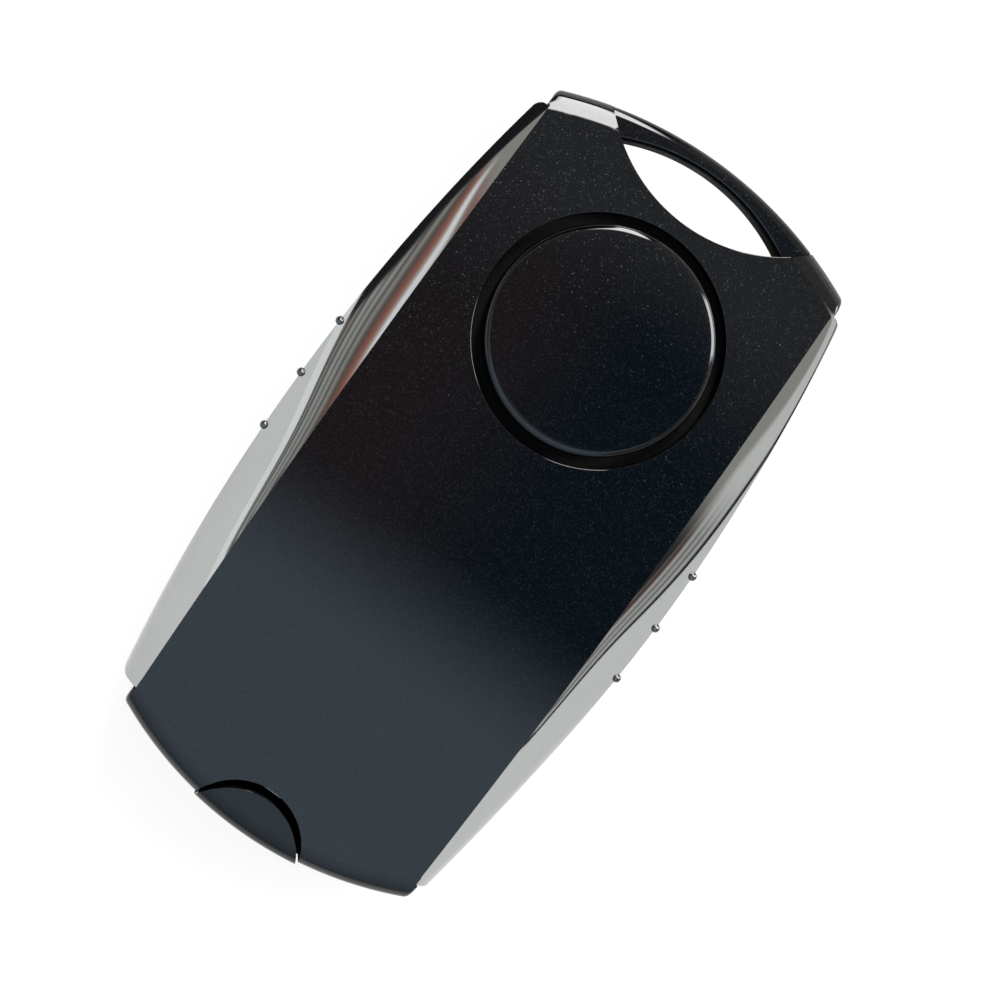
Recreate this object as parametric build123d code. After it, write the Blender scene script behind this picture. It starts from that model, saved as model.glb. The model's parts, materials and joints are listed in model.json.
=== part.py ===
from build123d import *
import math
import os

# A pocket personal safety alarm, lying on its back.
# Millimetres. +Z points up out of the button face, +Y towards the lanyard bail, +X to the right.
# The origin is on the resting plane, under the middle of the case.

# Case outline, seen from above
case_half_width = 16.94
case_widest_y = 9.8
side_bow_radius = 1200.0
shoulder_step = 0.3
loop_end_y = 39.15
loop_end_radius = 42.0
lower_end_y = -38.85
lower_end_radius = 38.5
shoulder_corner_radius = 0.7
crescent_low_y = 32.1
crescent_radius = 16.2
crescent_corner_radius = 0.4
wall = 1.5
overrun = 2.0
half = 0.5

# Case heights
floor_thickness = 1.6
battery_pad_thickness = 0.4
battery_height = 4.8
board_gap = 1.0
board_thickness = 1.0
board_z = floor_thickness + battery_pad_thickness + battery_height + board_gap
board_top = board_z + board_thickness
parting_above_board = 3.4
parting_z = board_top + parting_above_board
lid_depth = 3.6
top_z = parting_z + lid_depth
crown_radius = 617.0
lid_skin = 1.6
end_round = 1.7
end_slope_degrees = 6.0
base_round = 2.2
base_round_margin = 0.1

# Lanyard bail
bail_inner_radius = 20.3
bail_inner_y = 37.5
bail_rise = 1.3
bail_thickness = 3.2
bail_root = 0.9
bail_gap = 0.12
bail_round = 0.7

# Chrome side rails
rail_loop_y = 33.7
rail_lower_y = -33.6
rail_bulge = 4.06
rail_widest_y = -0.6
rail_bow_radius = 190.0
rail_fit = 0.03
rail_drop = 0.15
rail_embed = 1.0
rail_base_z = 2.6
rail_base_lip = 0.35
rail_ridge_depths = (7.9, 6.05, 3.6, 2.3, 0.85)
rail_crease_degrees = (0.0, 14.0, 40.0, 49.0, 49.0)
rail_section_count = 9
rail_corner_radius = 0.8
pip_radius = 0.45
pip_stand = 0.4
pip_pitch = 6.1
pip_middle_y = -0.4
pip_count = 3

# Alarm button and its well
button_radius = 11.0
ring_gap = 1.15
ring_bridge = 1.55
button_stand = 1.0
button_dome_radius = 300.0
button_edge_round = 0.6
button_skin = 1.2
button_flange_reach = 1.5
button_flange_thickness = 0.95
button_travel = 0.6
well_depth = 2.4
well_step = 0.6
well_wall = 1.15
well_collar_depth = 1.5
slide_gap = 0.05
button_boss_radius = 1.7

# Tact switch under the button
switch_side = 6.0
switch_height = 2.2
switch_base = 0.2
plunger_radius = 1.5
plunger_fit = 0.05
plunger_stand = 0.75
terminal_width = 0.7
terminal_length = 1.4
terminal_thickness = 0.25
terminal_place_share = 0.35

# Silicone membrane that returns the button
membrane_foot_radius = 9.3
membrane_foot_width = 1.3
membrane_foot_height = 0.8
membrane_web = 0.6
membrane_hub_radius = 6.4
membrane_hub_width = 1.2
membrane_hub_height = 0.7

# Case screws and their posts
screw_inset_x = 3.9
screw_inset_y = 3.4
post_radius = 2.2
screw_radius = 0.85
screw_clearance = 0.2
screw_thread_fit = 0.04
screw_head_radius = 1.6
screw_head_height = 1.1
screw_head_sink = 0.5
screw_tip_gap = 0.7
screw_slot_width = 0.4
screw_slot_depth = 0.45
post_top_above_board = 0.4
post_gap = 0.05

# Circuit board and its supports
board_clearance = 0.4
board_post_radius = 1.6
board_post_inset = 4.54
board_screw_radius = 0.7
board_screw_head_radius = 1.3
board_screw_head_height = 0.7
board_screw_length = 4.0
board_screw_fit = 0.04

# Charging port and its hinged cover
port_cut_radius = 6.31
port_cut_low_y = -34.05
port_cover_gap = 0.9
port_cover_radius = 6.43
port_cover_stand = 0.3
port_cover_skin = 1.2
port_hinge_z = 7.4
port_hinge_radius = 1.1
port_barrel_half = 3.4
port_hinge_gap = 0.3
port_side_gap = 0.12
port_bay_wall = 1.1
port_bay_floor = 1.0
port_lug_reach = 0.6
hinge_pin_radius = 0.4
hinge_pin_bore_fit = 0.05
hinge_pin_lug_fit = 0.02
hinge_pin_bite = 0.3
socket_width = 7.5
socket_height = 2.6
socket_depth = 5.5
socket_overhang = 0.5
socket_metal = 0.3
socket_window_gap = 0.15
socket_tongue_width = 4.0
socket_tongue_height = 0.6
socket_tongue_inset = 0.6
socket_block_depth = 1.5

# Siren
siren_radius = 11.4
siren_wall = 1.1
siren_height = 4.6
siren_gap = 0.5
siren_ledge_height = 1.9
siren_ledge_width = 1.1
diaphragm_thickness = 0.25
diaphragm_play = 0.05
ceramic_margin = 1.9
ceramic_thickness = 0.25
gasket_width = 1.2
gasket_thickness = 0.8
mesh_thickness = 0.2
sound_slot_width = 1.3
sound_slot_pitch = 2.9
sound_slot_count = 5
sound_field_radius = 8.2
contact_width = 1.0
contact_thickness = 0.2
contact_spread = 3.0

# Battery
battery_gap = 0.5
battery_side_gap = 1.4
battery_corner_radius = 1.5
battery_pad_margin = 1.5
lead_radius = 0.35
lead_spacing = 3.0
lead_reach = 1.1
lead_bend = 0.75
lead_height_share = 0.75

# Components on the board
component_inset = 9.44
chip_length = 5.0
chip_width = 4.0
chip_height = 1.4
chip_y = -6.0
chip_pin_count = 4
chip_pin_width = 0.4
chip_pin_reach = 0.9
chip_pin_height = 0.25
charger_length = 3.0
charger_width = 3.0
charger_height = 0.9
charger_y = -24.0
driver_length = 6.5
driver_width = 3.5
driver_height = 1.6
driver_y = -14.5
coil_radius = 3.6
coil_height = 4.0
coil_flange = 0.8
coil_core_radius = 2.0
coil_winding_gap = 0.15
coil_y = -4.5
capacitor_radius = 2.5
capacitor_height = 3.8
capacitor_y = -23.0
chip_part_length = 2.0
chip_part_width = 1.2
chip_part_height = 0.7
chip_part_pitch = 2.6
capacitor_row_x = -3.0
resistor_row_inset = 5.44
chip_part_row_y = -18.0
chip_part_count = 4
led_length = 1.6
led_width = 0.8
led_height = 0.7
led_gap = 0.8

# Places worked out from the sizes above
crescent_y = crescent_low_y + crescent_radius
rail_half_width = case_half_width + rail_bulge
board_post_x = case_half_width - board_post_inset
component_x = case_half_width - component_inset
resistor_row_x = resistor_row_inset - case_half_width
loop_centre_y = loop_end_y - loop_end_radius
lower_centre_y = lower_end_y + lower_end_radius
ring_radius = button_radius + ring_gap
button_y = crescent_low_y - ring_bridge - ring_radius
well_radius = ring_radius + well_step
collar_radius = well_radius + well_wall
bail_top = parting_z + bail_rise
bail_bottom = bail_top - bail_thickness
port_y = port_cut_low_y - port_cut_radius
port_cover_y = port_cut_low_y - port_cover_gap - port_cover_radius
port_hinge_y = lower_end_y - port_cover_stand + port_hinge_radius
post_top = board_top + post_top_above_board
screw_x = case_half_width - screw_inset_x
screw_loop_y = rail_loop_y - screw_inset_y
screw_lower_y = rail_lower_y + screw_inset_y
siren_y = crescent_low_y - wall - siren_gap - siren_radius
siren_low_y = siren_y - siren_radius
ceramic_radius = siren_radius - siren_wall - gasket_width - ceramic_margin
battery_low_y = screw_lower_y + post_radius + battery_gap
board_post_y = siren_low_y - battery_gap - board_post_radius
battery_high_y = board_post_y - board_post_radius - battery_gap
battery_half_width = case_half_width - wall - battery_side_gap
screw_hole_top = parting_z + lid_depth * half
big = 2 * (loop_end_y - lower_end_y)


def crown_height(radius):
    # How high the crowned face stands at this distance from the middle of the case.
    return top_z - crown_radius + math.sqrt(crown_radius**2 - radius**2)


def side_x(y):
    return case_half_width - side_bow_radius + math.sqrt(side_bow_radius**2 - (y - case_widest_y) ** 2)


def rail_x(y):
    return rail_half_width - rail_bow_radius + math.sqrt(rail_bow_radius**2 - (y - rail_widest_y) ** 2)


def rail_top(y):
    return crown_height(math.hypot(side_x(y), y)) - rail_drop


def along_rail(values, y):
    # Values at equal steps from the rail's lower end to its loop end, joined by a smooth curve.
    last = len(values) - 1
    place = last * min(max((y - rail_lower_y) / (rail_loop_y - rail_lower_y), 0), 1)
    i = min(int(place), last - 1)
    start, end, step = values[i], values[i + 1], place - i
    leave = (end - values[max(i - 1, 0)]) * half
    reach = (values[min(i + 2, last)] - start) * half
    bend = 3 * (end - start) - 2 * leave - reach
    turn = leave + reach - 2 * (end - start)
    return start + leave * step + bend * step**2 + turn * step**3


def ridge_z(y):
    # The rail's widest line falls towards the lower end.
    return rail_top(y) - along_rail(rail_ridge_depths, y)


def disc(radius, y):
    return Pos(0, y) * Circle(radius)


def side_lens(half_width):
    # The strip between the two gently bowed sides.
    reach = side_bow_radius - half_width
    right = Pos(-reach, case_widest_y) * Circle(side_bow_radius)
    left = Pos(reach, case_widest_y) * Circle(side_bow_radius)
    return right & left


def band(low_y, high_y):
    # A strip right across the case.
    return Pos(0, (low_y + high_y) * half) * Rectangle(big, high_y - low_y)


def case_plan(inset, step):
    # Each end's arc trims its own end only.
    loop_end = disc(loop_end_radius - inset, loop_centre_y) + band(-big, 0)
    lower_end = disc(lower_end_radius - inset, lower_centre_y) + band(0, big)
    sides = side_lens(case_half_width + step - inset)
    return (sides & loop_end & lower_end) - disc(crescent_radius + inset, crescent_y)


def rounded_case_plan():
    outline = case_plan(0, shoulder_step)
    # The outermost four corners are the shoulders; the two topmost of the rest are the crescent's tips.
    corners = sorted(outline.vertices(), key=lambda v: -abs(v.X))
    tips = [v for v in corners[4:] if v.Y > crescent_low_y]
    outline = fillet(tips, crescent_corner_radius)
    shoulders = sorted(outline.vertices(), key=lambda v: -abs(v.X))[:4]
    return fillet(shoulders, shoulder_corner_radius)


def column(outline, low, high):
    return Pos(0, 0, low) * extrude(outline, high - low)


def slab(low, high):
    return Pos(0, 0, low) * Box(big, big, high - low, align=(Align.CENTER, Align.CENTER, Align.MIN))


def rod(radius, x, y, low, high):
    return Pos(x, y, low) * Cylinder(radius, high - low, align=(Align.CENTER, Align.CENTER, Align.MIN))


def block(x_size, y_size, x, y, low, high):
    return Pos(x, y, low) * Box(x_size, y_size, high - low, align=(Align.CENTER, Align.CENTER, Align.MIN))


def cross_rod(radius, low_x, high_x, y, z):
    # A round bar along X.
    bar = Cylinder(radius, high_x - low_x, align=(Align.CENTER, Align.CENTER, Align.MIN))
    return Pos(low_x, y, z) * Rot(0, 90, 0) * bar


def crown_ball(radius):
    # The big ball whose skin is the crowned face. Its poles point along Y, away from the face.
    return Pos(0, 0, top_z - crown_radius) * Rot(90, 0, 0) * Sphere(radius)


def end_puck(radius, centre_y, edge_z):
    # A round slab with the end's plan radius and its top and bottom edge rounds.
    rise = radius * math.tan(math.radians(end_slope_degrees))
    profile = Polygon((0, 0), (radius, 0), (radius, edge_z), (0, edge_z + rise), align=None)
    rim = profile.vertices().sort_by(Axis.X)[-2:]
    profile = fillet(rim.sort_by(Axis.Y)[-1], end_round)
    rim = profile.vertices().sort_by(Axis.Y)[:2].sort_by(Axis.X)[-1]
    profile = fillet(rim, base_round)
    return Pos(0, centre_y, 0) * revolve(Plane.XZ * profile, Axis.Z)


def side_tunnel():
    # The case's cross section, with its lower edges rounded.
    width = 2 * (case_half_width + shoulder_step + base_round_margin)
    profile = Pos(0, top_z) * Rectangle(width, 2 * top_z)
    profile = fillet(profile.vertices().sort_by(Axis.Y)[:2], base_round)
    return extrude(Plane.XZ * profile, big, both=True)


def case_outer():
    body = extrude(rounded_case_plan(), top_z + overrun) & crown_ball(crown_radius)
    loop_puck = end_puck(loop_end_radius, loop_centre_y, crown_height(loop_end_y))
    body = body & (loop_puck + column(band(-big, 0), -overrun, big))
    lower_puck = end_puck(lower_end_radius, lower_centre_y, crown_height(lower_end_y))
    body = body & (lower_puck + column(band(0, big), -overrun, big))
    body = body & side_tunnel()
    rail_seat = band(rail_lower_y, rail_loop_y) - side_lens(case_half_width)
    return body - column(rail_seat, -overrun, top_z + overrun)


def case_cavity():
    room = column(case_plan(wall, 0), floor_thickness, top_z)
    return room & crown_ball(crown_radius - lid_skin)


def screw_points():
    return [(side * screw_x, y) for side in (-1, 1) for y in (screw_loop_y, screw_lower_y)]


def board_points():
    return [(-board_post_x, board_post_y), (board_post_x, board_post_y)]


def port_column(radius, low, high):
    return rod(radius, 0, port_y, low, high)


def socket_window():
    width = socket_width + 2 * socket_window_gap
    depth = 2 * (port_bay_wall + socket_overhang)
    high = board_top + socket_height + socket_window_gap
    return block(width, depth, 0, port_cut_low_y, board_top - socket_window_gap, high)


def bay_wall(outer, low, high):
    # The wall behind the port cover, trimmed to the inside of the case.
    return port_column(port_cut_radius + port_bay_wall, low, high) & outer


def make_front_cover(outer):
    lid = (outer & slab(parting_z, top_z + overrun)) - case_cavity()
    local_top = crown_height(button_y)
    collar = rod(collar_radius, 0, button_y, local_top - well_depth - well_collar_depth, top_z)
    bosses = [rod(post_radius, x, y, post_top + post_gap, top_z) for x, y in screw_points()]
    inside = column(case_plan(wall, 0), post_top, top_z) & crown_ball(crown_radius - lid_skin * half)
    grown = inside & (collar + bosses)
    lid = lid + grown + bay_wall(outer & slab(parting_z, top_z + overrun), parting_z, top_z)
    lid = lid - rod(ring_radius, 0, button_y, 0, top_z + overrun)
    lid = lid - rod(well_radius, 0, button_y, 0, local_top - well_depth)
    lid = lid - port_column(port_cut_radius, 0, top_z + overrun)
    lid = lid - socket_window()
    for x, y in screw_points():
        lid = lid - rod(screw_radius + screw_thread_fit, x, y, 0, screw_hole_top)
    return lid


def make_bail():
    high = disc(crescent_radius - bail_gap, crescent_y) & disc(loop_end_radius, loop_centre_y)
    low = disc(crescent_radius + bail_root, crescent_y) & disc(loop_end_radius, loop_centre_y)
    open_side = disc(bail_inner_radius, bail_inner_y - bail_inner_radius)
    upper = column(high - open_side, parting_z - bail_gap, bail_top)
    outer_edges = upper.edges().filter_by(lambda e: e.center().Z > bail_top - bail_gap * half)
    upper = fillet(outer_edges.sort_by(Axis.Y)[-1:], bail_round)
    return upper + column(low - open_side, bail_bottom, parting_z)


def sound_slots():
    slots = []
    for i in range(sound_slot_count):
        x = (i - (sound_slot_count - 1) * half) * sound_slot_pitch
        length = 2 * math.sqrt(sound_field_radius**2 - x**2)
        slot = Pos(x, siren_y) * Rot(0, 0, 90) * SlotOverall(length, sound_slot_width)
        slots.append(column(slot, -overrun, floor_thickness + overrun))
    return slots


def make_rear_shell(outer):
    shell = (outer & slab(0, parting_z)) - case_cavity()
    room = column(case_plan(wall * half, 0), floor_thickness * half, parting_z)
    posts = [rod(post_radius, x, y, floor_thickness * half, post_top) for x, y in screw_points()]
    posts += [rod(board_post_radius, x, y, floor_thickness * half, board_z) for x, y in board_points()]
    bay = bay_wall(outer, floor_thickness * half, parting_z)
    shell = shell + (room & (posts[0] + posts[1:])) + bay
    bay_low = port_hinge_z - port_hinge_radius - port_hinge_gap
    shell = shell - port_column(port_cut_radius, bay_low, parting_z + overrun)
    for side in (-1, 1):
        far = port_cut_radius + port_lug_reach
        near = port_barrel_half + port_side_gap
        low_x = near if side > 0 else -far
        lug = cross_rod(port_hinge_radius, low_x, low_x + far - near, port_hinge_y, port_hinge_z)
        foot_y = port_hinge_y + port_hinge_radius * half
        foot_x = side * (near + far) * half
        foot_low = bay_low - port_bay_floor * half
        foot = block(far - near, port_hinge_radius, foot_x, foot_y, foot_low, port_hinge_z)
        shell = shell + ((lug + foot) & outer)
    pin_reach = port_barrel_half + port_side_gap + port_lug_reach + hinge_pin_bite
    pin_hole = hinge_pin_radius + hinge_pin_lug_fit
    shell = shell - cross_rod(pin_hole, -pin_reach, pin_reach, port_hinge_y, port_hinge_z)
    shell = shell - socket_window()
    shell = shell + make_bail()
    shell = shell - rod(well_radius, 0, button_y, button_lowest() - slide_gap, top_z)
    shell = shell - sound_slots()
    for x, y in screw_points():
        seat = screw_head_sink + screw_head_height
        shell = shell - rod(screw_head_radius + screw_clearance, x, y, -overrun, seat)
        shell = shell - rod(screw_radius + screw_clearance, x, y, 0, post_top + overrun)
    for x, y in board_points():
        depth = board_screw_length
        shell = shell - rod(board_screw_radius + board_screw_fit, x, y, board_z - depth, board_z + overrun)
    return shell


def arc_between(start, end, swing):
    # An arc that leaves its chord by the swing at each end, bulging to the right of the way down.
    chord = math.dist(start, end)
    rise = chord * half * math.tan(swing * half)
    along = ((end[0] - start[0]) / chord, (end[1] - start[1]) / chord)
    middle = (
        (start[0] + end[0]) * half - along[1] * rise,
        (start[1] + end[1]) * half + along[0] * rise,
    )
    return ThreePointArc(start, middle, end)


def rail_section(y):
    side = side_x(y)
    top = (side, rail_top(y))
    ridge = (rail_x(y), ridge_z(y))
    base = (side + rail_base_lip, rail_base_z)
    inner = side - rail_embed
    lean = math.atan2(ridge[0] - top[0], top[1] - ridge[1])
    upper = arc_between(top, ridge, lean - math.radians(along_rail(rail_crease_degrees, y)))
    under = math.atan2(ridge[0] - base[0], ridge[1] - base[1])
    lower = arc_between(ridge, base, under)
    back = Polyline(base, (inner, rail_base_z), (inner, top[1]), top)
    face = make_face([upper, lower, *back.edges()])
    return Plane.XZ.offset(-y) * face


def rail_outline():
    inner = case_half_width - rail_embed - shoulder_step
    low = (rail_x(rail_lower_y), rail_lower_y + rail_fit)
    high = (rail_x(rail_loop_y), rail_loop_y - rail_fit)
    bow = ThreePointArc(low, (rail_half_width, rail_widest_y), high)
    back = Polyline(high, (inner, high[1]), (inner, low[1]), low)
    outline = make_face([bow, *back.edges()])
    corners = outline.vertices().sort_by(Axis.X)[-2:]
    return fillet(corners, rail_corner_radius)


def make_right_rail():
    middle = (rail_loop_y + rail_lower_y) * half
    reach = (rail_loop_y - rail_lower_y) * half
    sections = []
    for i in range(rail_section_count):
        y = middle + reach * (2 * i / (rail_section_count - 1) - 1)
        sections.append(rail_section(y))
    rail = loft(sections)
    rail = rail & column(rail_outline(), 0, top_z)
    rail = rail - column(side_lens(case_half_width + rail_fit), -overrun, top_z + overrun)
    for i in range(pip_count):
        y = pip_middle_y + (i - (pip_count - 1) * half) * pip_pitch
        rail = rail + Pos(rail_x(y) + pip_stand - pip_radius, y, ridge_z(y)) * Sphere(pip_radius)
    return rail


def make_button():
    local_top = crown_height(button_y)
    rim_z = local_top + button_stand
    low = flange_low()
    flange_top = low + button_flange_thickness
    dome = rim_z + button_dome_radius - math.sqrt(button_dome_radius**2 - button_radius**2)
    cap = rod(button_radius, 0, button_y, low, dome + overrun)
    ball = Pos(0, button_y, dome - button_dome_radius) * Rot(90, 0, 0) * Sphere(button_dome_radius)
    cap = cap & ball
    rim = cap.edges().filter_by(GeomType.CIRCLE).sort_by(Axis.Z)[-1]
    cap = fillet(rim, button_edge_round)
    cap = cap + rod(button_radius + button_flange_reach, 0, button_y, low, flange_top)
    hollow = rod(button_radius - button_skin, 0, button_y, 0, rim_z - button_skin)
    boss = rod(button_boss_radius, 0, button_y, plunger_top() + slide_gap, rim_z)
    return (cap - hollow) + boss


def flange_low():
    return crown_height(button_y) - well_depth - slide_gap - button_flange_thickness


def button_lowest():
    return flange_low() - button_travel


def plunger_top():
    return board_top + switch_height + plunger_stand


def membrane_hub_top():
    return crown_height(button_y) + button_stand - button_skin - slide_gap


def make_switch():
    body = block(switch_side, switch_side, 0, button_y, board_top, board_top + switch_height)
    return body - rod(plunger_radius + plunger_fit, 0, button_y, board_top + switch_base, parting_z)


def make_plunger():
    low = board_top + switch_base + button_travel + slide_gap
    return rod(plunger_radius, 0, button_y, low, plunger_top())


def make_switch_terminals():
    legs = []
    for side in (-1, 1):
        for end in (-1, 1):
            x = side * (switch_side + terminal_length) * half
            y = button_y + end * switch_side * terminal_place_share
            high = board_top + terminal_thickness
            legs.append(block(terminal_length, terminal_width, x, y, board_top, high))
    return Compound(legs)


def make_membrane():
    # A turned silicone ring: a foot on the board, a sloping web and a hub under the button.
    foot_out = membrane_foot_radius
    foot_in = foot_out - membrane_foot_width
    hub_out = membrane_hub_radius
    hub_in = hub_out - membrane_hub_width
    foot_high = board_top + membrane_foot_height
    hub_high = membrane_hub_top()
    hub_low = hub_high - membrane_hub_height
    points = [
        (foot_in, board_top),
        (foot_out, board_top),
        (foot_out, foot_high),
        (hub_out, hub_low + membrane_web),
        (hub_out, hub_high),
        (hub_in, hub_high),
        (hub_in, hub_low),
        (foot_in, foot_high - membrane_web),
    ]
    profile = Polygon(*points, align=None)
    return Pos(0, button_y, 0) * revolve(Plane.XZ * profile, Axis.Z)


def make_board():
    # The full width runs between the screw posts, with a narrower tongue past them at each end.
    post_reach = post_radius + board_clearance
    full = band(screw_lower_y + post_reach, screw_loop_y - post_reach)
    tongue = Rectangle(2 * (screw_x - post_reach), big)
    outline = case_plan(wall + board_clearance, 0) & (full + tongue)
    board = column(outline, board_z, board_top)
    board = board - port_column(port_cut_radius + port_bay_wall + board_clearance, 0, top_z)
    for x, y in board_points():
        board = board - rod(board_screw_radius + board_screw_fit, x, y, 0, top_z)
    return board


def make_case_screws():
    screws = []
    for x, y in screw_points():
        head_top = screw_head_sink + screw_head_height
        screw = rod(screw_head_radius, x, y, screw_head_sink, head_top)
        screw = screw + rod(screw_radius, x, y, head_top, screw_hole_top - screw_tip_gap)
        slot_high = screw_head_sink + screw_slot_depth
        screw = screw - block(screw_head_radius, screw_slot_width, x, y, 0, slot_high)
        screw = screw - block(screw_slot_width, screw_head_radius, x, y, 0, slot_high)
        screws.append(screw.solid())
    return Compound(screws)


def make_board_screws():
    screws = []
    for x, y in board_points():
        head = rod(board_screw_head_radius, x, y, board_top, board_top + board_screw_head_height)
        shank = rod(board_screw_radius, x, y, board_z - board_screw_length + screw_tip_gap, board_top)
        slot_low = board_top + board_screw_head_height * half
        slot = block(2 * board_screw_head_radius, screw_slot_width, x, y, slot_low, parting_z)
        screws.append((head + shank - slot).solid())
    return Compound(screws)


def make_port_cover():
    skin = port_cover_skin
    outer_radius = lower_end_radius + port_cover_stand
    edge_z = crown_height(lower_end_y)
    moon = rod(port_cover_radius, 0, port_cover_y, port_hinge_z, top_z) & crown_ball(crown_radius)
    moon = moon & end_puck(outer_radius, lower_centre_y, edge_z)
    room = port_column(port_cut_radius, port_hinge_z - overrun, top_z) & crown_ball(crown_radius - skin)
    room = room & rod(outer_radius - skin, 0, lower_centre_y, 0, edge_z)
    cover = moon - room
    reach = port_cut_radius
    clear = port_hinge_radius + port_hinge_gap
    for low_x in (-reach, port_barrel_half):
        high_x = low_x + reach - port_barrel_half
        cover = cover - cross_rod(clear, low_x, high_x, port_hinge_y, port_hinge_z)
    barrel = cross_rod(port_hinge_radius, -port_barrel_half, port_barrel_half, port_hinge_y, port_hinge_z)
    hole = cross_rod(hinge_pin_radius + hinge_pin_bore_fit, -reach, reach, port_hinge_y, port_hinge_z)
    return (cover + barrel) - hole


def make_hinge_pin():
    reach = port_barrel_half + port_side_gap + port_lug_reach
    return cross_rod(hinge_pin_radius, -reach, reach, port_hinge_y, port_hinge_z)


def make_socket():
    low_y = port_cut_low_y - socket_overhang
    middle = low_y + socket_depth * half
    high = board_top + socket_height
    shell = block(socket_width, socket_depth, 0, middle, board_top, high)
    inner = socket_width - 2 * socket_metal
    hole_depth = socket_depth - socket_block_depth + overrun
    hole_middle = low_y - overrun + hole_depth * half
    return shell - block(inner, hole_depth, 0, hole_middle, board_top + socket_metal, high - socket_metal)


def make_socket_tongue():
    low_y = port_cut_low_y - socket_overhang + socket_tongue_inset
    high_y = port_cut_low_y - socket_overhang + socket_depth - socket_block_depth
    middle = (low_y + high_y) * half
    low = board_top + socket_height * half
    return block(socket_tongue_width, high_y - low_y, 0, middle, low, low + socket_tongue_height)


def make_siren_chamber():
    low = floor_thickness + mesh_thickness
    cup = rod(siren_radius, 0, siren_y, low, low + siren_height)
    cup = cup - rod(siren_radius - siren_wall, 0, siren_y, low + siren_ledge_height, low + siren_height)
    return cup - rod(siren_radius - siren_wall - siren_ledge_width, 0, siren_y, 0, board_z)


def diaphragm_z():
    return floor_thickness + mesh_thickness + siren_ledge_height


def make_diaphragm():
    radius = siren_radius - siren_wall - diaphragm_play
    return rod(radius, 0, siren_y, diaphragm_z(), diaphragm_z() + diaphragm_thickness)


def make_ceramic():
    low = diaphragm_z() + diaphragm_thickness
    return rod(ceramic_radius, 0, siren_y, low, low + ceramic_thickness)


def make_gasket():
    low = diaphragm_z() + diaphragm_thickness
    radius = siren_radius - siren_wall - diaphragm_play
    ring = rod(radius, 0, siren_y, low, low + gasket_thickness)
    return ring - rod(radius - gasket_width, 0, siren_y, 0, board_z)


def make_sound_mesh():
    radius = siren_radius - siren_wall * half
    return rod(radius, 0, siren_y, floor_thickness, floor_thickness + mesh_thickness)


def make_siren_contacts():
    # Two bent strips from the underside of the board: one to the ceramic, one to the brass.
    strips = []
    brass_top = diaphragm_z() + diaphragm_thickness
    brass_y = siren_y - (ceramic_radius + siren_radius - siren_wall - gasket_width) * half
    for y, low in ((siren_y, brass_top + ceramic_thickness), (brass_y, brass_top)):
        foot = block(contact_spread, contact_width, 0, y, low, low + contact_thickness)
        stem = block(contact_thickness, contact_width, contact_spread * half, y, low, board_z)
        strips.append((foot + stem).solid())
    return Compound(strips)


def make_battery():
    length = battery_high_y - battery_low_y
    middle = (battery_high_y + battery_low_y) * half
    low = floor_thickness + battery_pad_thickness
    cell = block(2 * battery_half_width, length, 0, middle, low, low + battery_height)
    return fillet(cell.edges().filter_by(Axis.Y), battery_corner_radius)


def make_battery_pad():
    width = 2 * (battery_half_width - battery_pad_margin)
    length = battery_high_y - battery_low_y - 2 * battery_pad_margin
    middle = (battery_high_y + battery_low_y) * half
    return block(width, length, 0, middle, floor_thickness, floor_thickness + battery_pad_thickness)


def make_battery_leads():
    leads = []
    z = floor_thickness + battery_pad_thickness + battery_height * lead_height_share
    for side in (-1, 1):
        x = side * lead_spacing
        out_y = battery_low_y - lead_reach
        path = FilletPolyline((x, battery_low_y, z), (x, out_y, z), (x, out_y, board_z), radius=lead_bend)
        section = Plane(origin=(x, battery_low_y, z), z_dir=(0, -1, 0)) * Circle(lead_radius)
        leads.append(sweep(section, path=path).solid())
    return Compound(leads)


def make_chip():
    return block(chip_width, chip_length, -component_x, chip_y, board_top, board_top + chip_height)


def make_chip_pins():
    pins = []
    pitch = chip_length / chip_pin_count
    for side in (-1, 1):
        for i in range(chip_pin_count):
            x = side * (chip_width + chip_pin_reach) * half - component_x
            y = chip_y + (i - (chip_pin_count - 1) * half) * pitch
            pins.append(block(chip_pin_reach, chip_pin_width, x, y, board_top, board_top + chip_pin_height))
    return Compound(pins)


def make_charger_chip():
    high = board_top + charger_height
    return block(charger_width, charger_length, -component_x, charger_y, board_top, high)


def make_driver():
    return block(driver_length, driver_width, component_x, driver_y, board_top, board_top + driver_height)


def make_coil_core():
    high = board_top + coil_height
    core = rod(coil_radius, component_x, coil_y, board_top, board_top + coil_flange)
    core = core + rod(coil_core_radius, component_x, coil_y, board_top, high)
    return core + rod(coil_radius, component_x, coil_y, high - coil_flange, high)


def make_coil_winding():
    low = board_top + coil_flange
    high = board_top + coil_height - coil_flange
    winding = rod(coil_radius - coil_winding_gap, component_x, coil_y, low, high)
    return winding - rod(coil_core_radius, component_x, coil_y, 0, top_z)


def make_storage_capacitor():
    return rod(capacitor_radius, component_x, capacitor_y, board_top, board_top + capacitor_height)


def make_chip_row(x):
    row = []
    for i in range(chip_part_count):
        y = chip_part_row_y + (i - (chip_part_count - 1) * half) * chip_part_pitch
        row.append(block(chip_part_length, chip_part_width, x, y, board_top, board_top + chip_part_height))
    return Compound(row)


def make_led():
    x = socket_width * half + led_gap + led_width * half
    y = port_cut_low_y + port_bay_wall + board_clearance + led_length
    return block(led_width, led_length, x, y, board_top, board_top + led_height)


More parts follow.
